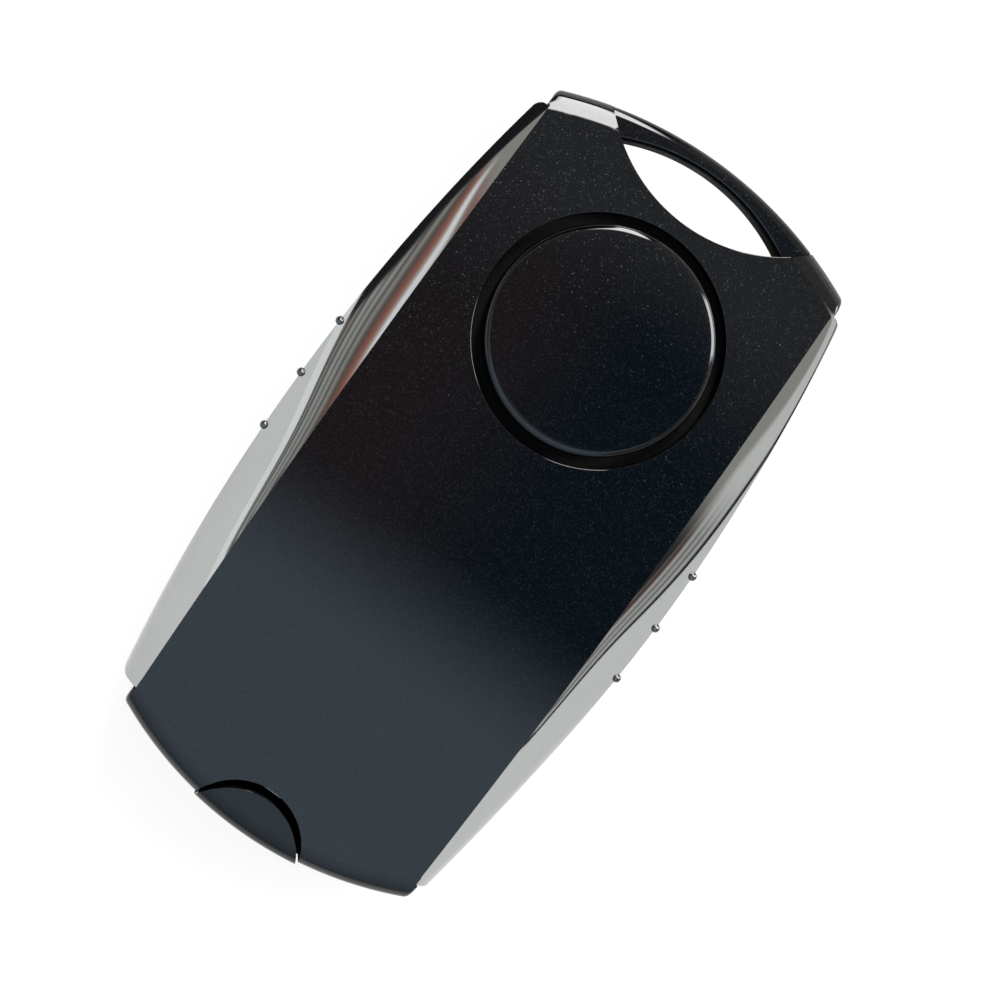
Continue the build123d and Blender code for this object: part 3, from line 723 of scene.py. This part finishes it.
def onShellFace(c):
    # The bail's top, the outer walls and the base are painted, the crescent's and the bay's walls aren't.
    size = shellSettings
    if c.z > size["bailTop"] - size["paintRise"]:
        return True
    if onCircle(c, size["bailInnerRadius"], bailOpenY, 2 * closeBy) and c.z > size["bailFoot"]:
        return False
    if hypot(c.x, c.y - crescentY) < crescentRadius + closeBy and c.z < bailLowZ + size["slack"]:
        return c.z < size["slack"]
    if hypot(c.x, c.y - portY) < portRadius + size["baySlack"] and c.z > size["bayLow"] - size["slack"]:
        return False
    reach = size["baseRound"] * (size["baseReach"] if c.z < size["baseRound"] else size["wallReach"])
    return fromOutline(c) < reach or c.z < size["paintRise"] or c.z > partingZ


def spareLugs(bay):
    # Two lugs carry the port cover's pin. The bay is cut round them, so they end flush with the case.
    size, flap = shellSettings, flapSettings
    near, far = flap["barrelHalf"] + size["lugGap"], portRadius + size["lugReach"]
    y, z, radius = flap["hingeY"], flap["hingeZ"], flap["hingeRadius"]
    footLow = size["bayLow"] - size["overlap"]
    for side in (-1, 1):
        low, high = sorted((side * near, side * far))
        lug = crossBar("lug", radius, low, high, y, z)
        foot = boxBar("foot", (far - near) / 2, y, y + radius, footLow, z, side * (near + far) / 2)
        combine(lug, foot, "UNION")
        combine(bay, lug)


# Chrome rails
railSettings = {
    **millimetres(
        bulge=4.06, widestY=-0.6, bow=190, drop=0.15, fit=0.03, baseZ=2.6, baseLip=0.35, endRound=0.8,
        endBreak=0.12, endSlack=0.0001, pipRadius=0.45, pipStand=0.4, pipPitch=6.1, pipMiddleY=-0.4,
    ),
    "ridgeDepths": (7.9, 6.05, 3.6, 2.3, 0.85),
    "creaseDegrees": (0.0, 11.5, 40.0, 49.0, 49.0),
    "backShares": [0.84, 0.88, 0.92, 0.96, 1.0],
    "leastSwing": 1e-4,
    "endSteps": 10, "upperShare": 0.45, "lowerShare": 0.8, "footShare": 0.84, "upperSteps": 30,
    "lowerSteps": 26, "lengthSteps": 150, "smoothDegrees": 12, "pipSegments": 32, "pipRings": 16,
}


def railX(y):
    bow = railSettings["bow"]
    widest = caseShape["halfWidth"] + railSettings["bulge"]
    return widest - bow + sqrt(bow**2 - (y - railSettings["widestY"]) ** 2)


def railTop(y):
    return crownHeight(sideX(y), y) - railSettings["drop"]


def alongRail(values, y):
    # The values stand at equal steps along the rail, with a smooth curve through them.
    low = caseShape["railLowY"]
    place = min(1.0, max(0.0, (y - low) / (caseShape["railHighY"] - low))) * (len(values) - 1)
    i = min(len(values) - 2, int(place))
    before, after = values[max(0, i - 1)], values[min(len(values) - 1, i + 2)]
    a, b, t = values[i], values[i + 1], place - i
    leave, reach = (b - before) / 2, (after - a) / 2
    return a + leave * t + (3 * (b - a) - 2 * leave - reach) * t * t + (leave + reach - 2 * (b - a)) * t**3


def ridgeZ(y):
    return railTop(y) - alongRail(railSettings["ridgeDepths"], y) * mm


def arcPoint(start, end, swing, share):
    # A point along an arc that leaves its chord by swing at each end.
    runX, runZ = end[0] - start[0], end[1] - start[1]
    if abs(swing) < railSettings["leastSwing"]:
        return (start[0] + runX * share, start[1] + runZ * share)
    radius = dist(start, end) / 2 / sin(swing)
    first = atan2(runZ, runX) + swing
    heading = first - 2 * swing * share
    across = radius * (sin(first) - sin(heading))
    return (start[0] + across, start[1] + radius * (cos(heading) - cos(first)))


def railPoint(y, share):
    # Once round the rail's section: the upper face, the lower face, the foot and the back.
    size = railSettings
    upper, lower, foot = size["upperShare"], size["lowerShare"], size["footShare"]
    side = sideX(y)
    top = (side + size["fit"], railTop(y))
    ridge = (railX(y), ridgeZ(y))
    base = (side + size["baseLip"], size["baseZ"])
    if share <= upper:
        lean = atan2(ridge[0] - top[0], top[1] - ridge[1])
        crease = radians(alongRail(size["creaseDegrees"], y))
        return arcPoint(top, ridge, lean - crease, share / upper)
    if share <= lower:
        under = atan2(ridge[0] - base[0], ridge[1] - base[1])
        return arcPoint(ridge, base, under, (share - upper) / (lower - upper))
    if share <= foot:
        return (base[0] + (top[0] - base[0]) * (share - lower) / (foot - lower), base[1])
    return (top[0], base[1] + (top[1] - base[1]) * (share - foot) / (1 - foot))


def roundedBy(distance, radius):
    # How far a round of this radius stands back at this distance from the end.
    gone = 1 - min(distance, radius) / radius
    return radius * (1 - sqrt(1 - gone * gone))


def makeRail(name, node, side):
    size = railSettings
    railMiddle = (size["baseZ"] + topZ) / 2
    around = spread(0, size["upperShare"], size["upperSteps"])
    around += spread(size["upperShare"], size["lowerShare"], size["lowerSteps"])[1:] + size["backShares"]
    low, high = caseShape["railLowY"], caseShape["railHighY"]
    ends = [inset for inset, rise in quarterRound(size["endRound"], 0, size["endSteps"])][:-1]
    middle = spread(low + size["endRound"], high - size["endRound"], size["lengthSteps"])
    alongY = [low + d for d in ends] + middle + [high - d for d in ends[::-1]]
    columns, rows = len(around) - 1, len(alongY) - 1
    clearSelection()
    bpy.ops.mesh.primitive_grid_add(x_subdivisions=columns, y_subdivisions=rows, size=2)
    rail = bpy.context.active_object
    for vertex in rail.data.vertices:
        y = alongY[round((vertex.co.y + 1) / 2 * rows)]
        x, z = railPoint(y, around[round((vertex.co.x + 1) / 2 * columns)])
        # The outer corner is rounded in plan, then the end's rim is broken a little.
        toEnd = min(y - low, high - y)
        inset, rim = roundedBy(toEnd, size["endRound"]), roundedBy(toEnd, size["endBreak"])
        back = sideX(y) + size["fit"]
        x = max(back, min(x, railX(y) - inset) - (rim if x > back + rim else 0))
        z -= rim * max(-1, min(1, (z - railMiddle) / mm))
        vertex.co = (side * x, y, z)
    editPiece(rail)
    weldPoints()
    leaveEdit()
    for edge in (low, high):
        editPiece(rail)
        pickEdges(rail, lambda a, b: max(abs(a.y - edge), abs(b.y - edge)) < size["endSlack"])
        bpy.ops.mesh.edge_face_add()
        leaveEdit()
    editPiece(rail)
    faceOutward()
    smoothByAngle(rail, size["smoothDegrees"])
    body = len(rail.data.polygons)
    addPips(rail, side)
    fitPiece(rail, name, node, railChrome)
    rail.data.materials.append(pipMetal)
    for face in list(rail.data.polygons)[body:]:
        face.material_index = 1


def addPips(rail, side):
    size = railSettings
    shape = {"segments": size["pipSegments"], "ring_count": size["pipRings"], "radius": size["pipRadius"]}
    pips = []
    for i in (-1, 0, 1):
        y = size["pipMiddleY"] + i * size["pipPitch"]
        x = railX(y) + size["pipStand"] - size["pipRadius"]
        clearSelection()
        bpy.ops.mesh.primitive_uv_sphere_add(location=(side * x, y, ridgeZ(y)), **shape)
        pips.append(newestPiece("pip"))
        bpy.ops.object.shade_smooth()
    activate(rail, *pips)
    bpy.ops.object.join()


# Alarm button
buttonSettings = {
    **millimetres(
        radius=11.0, domeRadius=300, edgeRound=0.6, flangeReach=1.5, flangeThick=0.95, paintDepth=1.6,
    ),
    "topZ": boxOf("alarm_button")[1].z, "lowZ": boxOf("alarm_button")[0].z,
    "domeSteps": 24, "edgeSteps": 14, "steps": 256, "smoothDegrees": 40,
}


def spinProfile(name, points, centreY, steps):
    # The profile is drawn point by point beside the upright axis and spun once round it.
    clearSelection()
    bpy.ops.mesh.primitive_plane_add(size=mm)
    piece = newestPiece(name)
    editPiece(piece)
    bpy.ops.mesh.select_mode(type="VERT")
    pickAll()
    bpy.ops.mesh.merge(type="CENTER")
    leaveEdit()
    piece.data.vertices[0].co = (points[0][0], centreY, points[0][1])
    editPiece(piece)
    pickAll()
    for last, now in zip(points, points[1:]):
        move = (now[0] - last[0], 0, now[1] - last[1])
        bpy.ops.mesh.extrude_region_move(TRANSFORM_OT_translate={"value": move})
    pickAll()
    bpy.ops.mesh.spin(steps=steps, angle=2 * pi, center=(0, centreY, 0), axis=(0, 0, 1))
    weldPoints(weldGap / 2)
    faceOutward()
    return piece


def makeButton():
    size = buttonSettings
    radius, dome, edge, lowZ = size["radius"], size["domeRadius"], size["edgeRound"], size["lowZ"]
    inner = radius - edge
    # The edge's round leaves the dome and the side wall without a crease.
    lean = asin(inner / (dome - edge))
    base = size["topZ"] - dome
    turnZ = base + (dome - edge) * cos(lean)
    turns = spread(lean, pi / 2, size["edgeSteps"])[1:]
    points = [(dome * sin(a), base + dome * cos(a)) for a in spread(0, lean, size["domeSteps"])]
    points += [(inner + edge * sin(a), turnZ + edge * cos(a)) for a in turns]
    flange = radius + size["flangeReach"]
    shelf = lowZ + size["flangeThick"]
    points += [(radius, shelf), (flange, shelf), (flange, lowZ), (0, lowZ)]
    button = spinProfile("buttonCap", points, buttonY, size["steps"])
    smoothByAngle(button, size["smoothDegrees"])
    paintEnd = size["topZ"] - size["paintDepth"]
    fitPiece(button, "pressButton", "alarm_button", caseLacquer, lambda c: c.z > paintEnd)


# Half-moon cover of the charging port
flapSettings = {
    **millimetres(
        radius=6.43, gap=0.9, stand=0.3, skin=1.2, hingeY=-38.05, hingeZ=7.4, hingeRadius=1.1, hingeGap=0.3,
        barrelHalf=3.4, endRound=1.7, endReach=2.3, edgeBreak=0.05, gridSpacing=1.2, gridX=4.8, gridLowY=-37.2,
        gridHighY=-36,
    ),
    "roundSteps": 16, "arcSteps": 48, "smoothDegrees": 32,
}
flapRadius = caseShape["lowerRadius"] + flapSettings["stand"]


def flapOutline(inset, edge):
    # The outer arc, lower left to lower right, and back along the round inner edge.
    size = flapSettings
    outer = flapRadius - inset
    radius = size["radius"] - edge
    flapY = coverSettings["portCutLowY"] - size["gap"] - size["radius"]
    # Where the two circles cross
    apart = lowerCentreY - flapY
    fall = (outer**2 - radius**2 + apart**2) / (2 * apart)
    half = sqrt(outer**2 - fall**2)
    first = atan2(half, fall)
    last = atan2(half, apart - fall)
    out, home = spread(-first, first, size["arcSteps"]), spread(last, -last, size["arcSteps"])
    there = [(outer * sin(a), lowerCentreY - outer * cos(a)) for a in out]
    back = [(radius * sin(a), flapY + radius * cos(a)) for a in home]
    return there + back[1:-1]


def makeFlap():
    size = flapSettings
    hinge, half = (size["hingeY"], size["hingeZ"]), size["barrelHalf"]
    rings = [(flapOutline(0, 0), size["hingeZ"])]
    for inset, low in quarterRound(size["endReach"], size["endRound"], size["roundSteps"]):
        rings.append((flapOutline(inset, max(0.0, size["edgeBreak"] - low)), topZ - low))
    flap = stackRings("flapBlock", rings)
    bore(flap, flapRadius - size["skin"], lowerCentreY, "end", high=topZ - size["skin"])
    clear = size["hingeRadius"] + size["hingeGap"]
    for lowX, highX in ((-portRadius, -half), (half, portRadius)):
        combine(flap, crossBar("cut", clear, lowX, highX, *hinge))
    combine(flap, crossBar("barrel", size["hingeRadius"], -half, half, *hinge), "UNION")
    sliceGrid(flap, size["gridSpacing"], size["gridX"], size["gridLowY"], size["gridHighY"])
    sinkToCrown(flap)
    tidyNormals(flap)
    smoothPiece(flap, size["smoothDegrees"])
    fitPiece(flap, "portFlap", "port_cover", portLacquer, onFlapFace)


def onFlapFace(c):
    size = flapSettings
    within = flapRadius - hypot(c.x, c.y - lowerCentreY)
    top = crownHeight(c.x, c.y) - c.z
    onRound = within < size["endReach"] and top < size["endRound"]
    return within < coverSettings["paintEdge"] or top < coverSettings["paintDepth"] or onRound


# Finishes of the pieces that stay as they are
pinFinish = metal((0.55, 0.55, 0.53), (0.72, 0.72, 0.7), (0.22, 0.4), 900)
chipFinish = plain((0.016, 0.016, 0.017), (0.034, 0.034, 0.035), (0.45, 0.65), 900)
nodeFinishes = {
    "button_membrane": plain((0.5, 0.51, 0.52), (0.62, 0.63, 0.64), (0.45, 0.6), 400),
    "tact_switch": plain(0.02, (0.04, 0.04, 0.042), (0.4, 0.55), 700),
    "switch_plunger": plain((0.68, 0.66, 0.6), (0.78, 0.77, 0.72), (0.35, 0.5), 700),
    "switch_terminals": pinFinish,
    "controller_pins": pinFinish,
    "siren_contacts": metal((0.55, 0.5, 0.4), (0.72, 0.68, 0.55), (0.22, 0.4), 900),
    "case_screws": metal(0.28, 0.5, (0.25, 0.42), 800),
    "board_screws": metal(0.4, 0.6, (0.25, 0.4), 800),
    "port_hinge_pin": metal(0.45, 0.6, (0.2, 0.34), 800),
    "charging_socket": metal(0.5, 0.68, (0.2, 0.35), 500),
    "socket_tongue": plain(0.012, 0.03, (0.4, 0.55), 700),
    "circuit_board": plain((0.012, 0.085, 0.04), (0.022, 0.14, 0.07), (0.3, 0.45), 350),
    "siren_chamber": plain((0.02, 0.02, 0.022), (0.04, 0.04, 0.044), (0.4, 0.6), 500),
    "siren_diaphragm": metal((0.55, 0.4, 0.16), (0.75, 0.58, 0.27), (0.22, 0.36), 250),
    "siren_ceramic": plain((0.68, 0.66, 0.58), (0.8, 0.78, 0.7), (0.4, 0.55), 400),
    "siren_gasket": plain(0.018, 0.04, (0.6, 0.8), 600),
    "battery_cell": metal((0.6, 0.61, 0.62), (0.74, 0.75, 0.76), (0.28, 0.45), 160),
    "battery_pad": plain(0.05, 0.1, (0.8, 0.95), 900, bump=0.6),
    "battery_leads": plain((0.38, 0.02, 0.02), (0.55, 0.04, 0.035), (0.35, 0.5), 700),
    "controller_chip": chipFinish,
    "charger_chip": chipFinish,
    "siren_driver": chipFinish,
    "coil_core": plain((0.06, 0.06, 0.062), (0.11, 0.11, 0.112), (0.5, 0.7), 700),
    "coil_winding": metal((0.5, 0.22, 0.1), (0.75, 0.4, 0.22), (0.2, 0.34), 40, stretch=(1, 1, 90), bump=0.8),
    "storage_capacitor": metal((0.6, 0.6, 0.61), (0.76, 0.76, 0.77), (0.2, 0.3), 300),
    "chip_capacitors": plain((0.35, 0.24, 0.14), (0.48, 0.35, 0.22), (0.35, 0.5), 900),
    "chip_resistors": plain(0.02, (0.05, 0.05, 0.052), (0.25, 0.4), 900),
    "charge_light": plain((0.75, 0.75, 0.65), (0.88, 0.88, 0.8), (0.15, 0.25), 500),
}


def makeMeshCloth():
    # A woven acoustic cloth behind the sound slots.
    cloth = {"scale": 900.0, "dark": 0.012, "light": 0.06, "depth": 0.03 * mm, "rough": 0.85}
    material, tree, shader = newMaterial("soundCloth")
    inputs = {"Vector": addNode(tree, "TexCoord").outputs["Object"], "Scale": cloth["scale"]}
    waves = [addNode(tree, "TexWave", inputs, bands_direction=way).outputs["Fac"] for way in ("X", "Y")]
    weave = chain(tree, "MULTIPLY", waves)
    bump = addNode(tree, "Bump", {"Distance": cloth["depth"], "Height": weave})
    feed(tree, shader, {
        "Base Color": blendNode(tree, weave, cloth["dark"], cloth["light"]),
        "Normal": bump.outputs["Normal"],
        "Roughness": cloth["rough"],
    })
    return material


def giveFinish(node, material):
    piece = frame["nodes"][node]
    if not piece.material_slots:
        piece.data.materials.append(material)
    for place in piece.material_slots:
        place.material = material


def finishNodes():
    for node, settings in nodeFinishes.items():
        giveFinish(node, makeGrained(node + "Finish", settings))
    giveFinish("sound_mesh", makeMeshCloth())


# Studio
studio = {
    "floorSize": 4.0, "floorDrop": 0.02 * mm, "floorColor": 0.8, "floorShade": 0.10, "floorGlow": 0.87,
    "softSize": 1.2, "softHeight": 0.9, "softPower": 8.5,
    "ambient": 0.45, "backdrop": 1.0,
}


def addFloor():
    clearSelection()
    bpy.ops.mesh.primitive_plane_add(size=studio["floorSize"], location=(0, 0, -studio["floorDrop"]))
    floor = bpy.context.active_object
    floor.name = "studioFloor"
    material, tree, shader = newMaterial("paleFloor")
    tree.nodes.remove(shader)
    # Seen or mirrored it glows almost white, and it lights the object like a plain pale floor.
    diffuse = addNode(tree, "BsdfDiffuse", {"Color": studio["floorColor"]}).outputs[0]
    thin = addNode(tree, "BsdfDiffuse", {"Color": studio["floorShade"]}).outputs[0]
    glow = addNode(tree, "Emission", {"Strength": studio["floorGlow"]}).outputs[0]
    both = addNode(tree, "AddShader", {0: thin, 1: glow}).outputs[0]
    path = addNode(tree, "LightPath").outputs
    shown = chain(tree, "MAXIMUM", [path["Is %s Ray" % kind] for kind in ("Glossy", "Transmission", "Camera")])
    seen = addNode(tree, "MixShader", {0: shown, 1: diffuse, 2: both}).outputs[0]
    output = [node for node in tree.nodes if node.type == "OUTPUT_MATERIAL"][0]
    feed(tree, output, {"Surface": seen})
    floor.data.materials.append(material)


def rampNode(tree, value, stops):
    bands = addNode(tree, "ValToRGB", {0: value})
    ramp = bands.color_ramp
    for element, (position, color) in zip(ramp.elements, (stops[0], stops[-1])):
        element.position = position
        element.color = rgba(color)
    for position, color in stops[1:-1]:
        ramp.elements.new(position).color = rgba(color)
    return bands.outputs[0]


# What the gloss shows, by direction: colours straight overhead, bands lower down and two bright windows.
# Each step gives where it starts and where it ends.
room = {
    "sideStep": (-0.05, 0.05), "leftStep": (0.05, -0.05), "waver": 0.05, "waverStretch": (1.0, 3.0, 1.0),
    "waverScale": 1.6, "waverDetail": 2.0, "waverStep": (0.05, 0.3), "lowStep": (0.02, 0.05),
    "plainStep": (0.21, 0.30), "loopLean": 0.05, "loopStep": (0.10, 0.16), "wedgeLean": -1.8,
    "wedgeStep": (0.08, 0.04), "footLean": 0.336, "footStep": (0.09, 0.08), "darkStep": (0.0, 0.14),
    "farStep": (0.10, 0.24), "coolStep": (-0.02, -0.125), "frontStep": (0.0, 0.95), "frontFrom": (-2.53, -2.27),
    "frontTo": (-0.61, -0.87), "overStep": (0.84, 0.92),
    "cool": (0.85, 1.08, 1.32), "far": (0.32, 0.34, 0.37),
    "warmDark": (0.19, 0.14, 0.16), "coldDark": (0.02, 0.08, 0.14),
    "frontHigh": (0.80, 1.00, 1.22), "frontLow": (0.36, 0.46, 0.55),
    "leftBands": (
        (0.00, 0.02), (0.03, 0.03), (0.05, (0.62, 0.48, 0.35)), (0.10, (0.40, 0.31, 0.24)), (0.115, 0.05),
        (0.135, (0.50, 0.50, 0.48)), (0.16, 0.10), (0.19, (0.65, 0.65, 0.63)), (0.22, (0.22, 0.22, 0.21)),
        (0.25, (0.60, 0.59, 0.57)), (0.28, (0.14, 0.14, 0.13)), (0.31, (0.50, 0.47, 0.44)),
        (0.35, (0.16, 0.15, 0.14)), (0.385, (0.30, 0.15, 0.12)), (0.425, (0.50, 0.22, 0.17)),
        (0.45, (0.70, 0.55, 0.50)), (0.47, (1.30, 1.30, 1.32)), (0.50, (1.20, 1.20, 1.22)),
        (0.52, (0.45, 0.42, 0.40)), (0.56, (0.45, 0.17, 0.13)), (0.62, (0.46, 0.24, 0.20)),
        (0.66, (0.42, 0.41, 0.38)),
    ),
    "rightBands": (
        (0.00, 0.03), (0.025, 0.04), (0.045, 0.80), (0.075, (0.56, 0.56, 0.55)), (0.09, 0.10),
        (0.11, (0.68, 0.68, 0.67)), (0.145, (0.50, 0.49, 0.48)), (0.16, 0.14), (0.175, (0.64, 0.62, 0.61)),
        (0.20, (0.68, 0.65, 0.64)), (0.215, (0.30, 0.26, 0.25)), (0.23, (0.10, 0.07, 0.06)),
        (0.25, (0.16, 0.08, 0.07)), (0.262, (0.26, 0.25, 0.24)), (0.275, 0.05), (0.40, 0.05),
        (0.50, (0.42, 0.41, 0.38)),
    ),
    "loopLow": ((0.02, 0.02, 0.022), (0.95, 0.95, 0.93)),
    "loopHigh": (0.46, 0.45, 0.42),
    "paleWall": (1.30, 1.32, 1.32),
    "windows": (
        {"from": 105, "to": 110, "low": 10, "high": 71, "edge": 4, "topEdge": 6, "lean": 0.27, "radiance": 17.0},
        {"from": 30, "to": 56, "low": 8, "high": 60, "edge": 6, "topEdge": 6, "lean": 0.0, "radiance": 12.0},
    ),
}


def windowLight(tree, window, turn, rise):
    # One soft-edged window, by how far round the room and how high it stands.
    leant = mathNode(tree, "MULTIPLY_ADD", rise, window["lean"], turn)
    sides = ((leant, "from", 1, "edge"), (turn, "to", -1, "edge"))
    levels = ((rise, "low", 1, "edge"), (rise, "high", -1, "topEdge"))
    steps = []
    for value, side, way, blur in sides + levels:
        away = way * window[blur] / 2
        steps.append(stepNode(tree, value, radians(window[side] - away), radians(window[side] + away)))
    return chain(tree, "MULTIPLY", [*steps, window["radiance"]])


def addWorld():
    world = bpy.data.worlds.new("studioRoom")
    bpy.context.scene.world = world
    world.use_nodes = True
    tree = world.node_tree
    tree.nodes.clear()

    def step(value, name):
        return stepNode(tree, value, *room[name])

    def blend(*values):
        return blendNode(tree, *values)

    def leaning(value, name, other):
        return mathNode(tree, "MULTIPLY_ADD", value, room[name], other)

    way = addNode(tree, "TexCoord").outputs["Generated"]
    x, y, z = addNode(tree, "SeparateXYZ", {0: way}).outputs
    # Bands by height, wavering a little round the room
    stretched = vectorNode(tree, "MULTIPLY", way, room["waverStretch"])
    inputs = {"Vector": stretched, "Scale": room["waverScale"], "Detail": room["waverDetail"]}
    noise = addNode(tree, "TexNoise", inputs).outputs[0]
    waver = mathNode(tree, "MULTIPLY_ADD", noise, room["waver"], -room["waver"] / 2)
    height = mathNode(tree, "ADD", z, mathNode(tree, "MULTIPLY", waver, step(z, "waverStep")))
    right = step(x, "sideStep")
    bands = blend(right, *[rampNode(tree, height, room[name]) for name in ("leftBands", "rightBands")])
    # Plainer towards the loop end, and pale along the left wall's foot
    black = room["loopLow"][0]
    low = blend(step(z, "lowStep"), black, blend(right, *room["loopLow"]))
    plainer = blend(step(z, "plainStep"), low, room["loopHigh"])
    bands = blend(step(leaning(x, "loopLean", y), "loopStep"), bands, plainer)
    left = step(x, "leftStep")
    for name, color in (("wedge", black), ("foot", room["paleWall"])):
        near = step(leaning(y, name + "Lean", z), name + "Step")
        bands = blend(mathNode(tree, "MULTIPLY", near, left), bands, color)
    # Straight overhead
    over = blend(step(x, "darkStep"), room["warmDark"], room["coldDark"])
    over = blend(step(y, "farStep"), over, room["far"])
    over = blend(step(y, "coolStep"), over, room["cool"])
    turn = mathNode(tree, "ARCTAN2", y, x)
    rise = mathNode(tree, "ARCSINE", z)
    # The front of the room is plain and cool, darker lower down
    front = blend(step(z, "frontStep"), room["frontLow"], room["frontHigh"])
    within = mathNode(tree, "MULTIPLY", step(turn, "frontFrom"), step(turn, "frontTo"))
    shown = blend(step(z, "overStep"), blend(within, bands, front), over)
    glare = chain(tree, "ADD", [windowLight(tree, window, turn, rise) for window in room["windows"]])
    path = addNode(tree, "LightPath").outputs
    final = blend(path["Is Diffuse Ray"], vectorNode(tree, "ADD", shown, glare), studio["ambient"])
    final = blend(path["Is Camera Ray"], final, studio["backdrop"])
    background = addNode(tree, "Background", {"Color": final}).outputs[0]
    addNode(tree, "OutputWorld", {"Surface": background})


def addLights():
    clearSelection()
    bpy.ops.object.light_add(type="AREA", location=(0, 0, studio["softHeight"]))
    lamp = bpy.context.active_object
    lamp.name = "overheadSoft"
    lamp.data.shape = "SQUARE"
    lamp.data.size = studio["softSize"]
    lamp.data.energy = studio["softPower"]
    lamp.visible_camera = False
    lamp.visible_glossy = False


# Camera at the photograph's view
photoView = {
    "place": (-22.426 * mm, -3.856 * mm, 263.837 * mm),
    "aim": (1.214 * mm, 0.76 * mm, 15 * mm),
    "upHeading": 125.95, "lens": 95.32, "sensor": 36.0, "clipStart": 0.01,
}


def addCamera():
    bpy.ops.object.camera_add(location=photoView["place"])
    camera = bpy.context.active_object
    camera.name = "photoCamera"
    forward = (Vector(photoView["aim"]) - Vector(photoView["place"])).normalized()
    heading = radians(photoView["upHeading"])
    right = forward.cross(Vector((cos(heading), sin(heading), 0))).normalized()
    up = right.cross(forward)
    turned = Matrix((right, up, -forward)).transposed()
    camera.rotation_euler = turned.to_euler()
    camera.data.lens = photoView["lens"]
    camera.data.sensor_width = photoView["sensor"]
    camera.data.clip_start = photoView["clipStart"]
    bpy.context.scene.camera = camera


addCamera()
makeFrontCover()
makeRearShell()
makeRail("railRight", "right_rail", 1)
makeRail("railLeft", "left_rail", -1)
makeButton()
makeFlap()
finishNodes()
print("pieces made")
addFloor()
addWorld()
addLights()
bpy.context.scene.view_settings.view_transform = "Standard"
print("studio set")
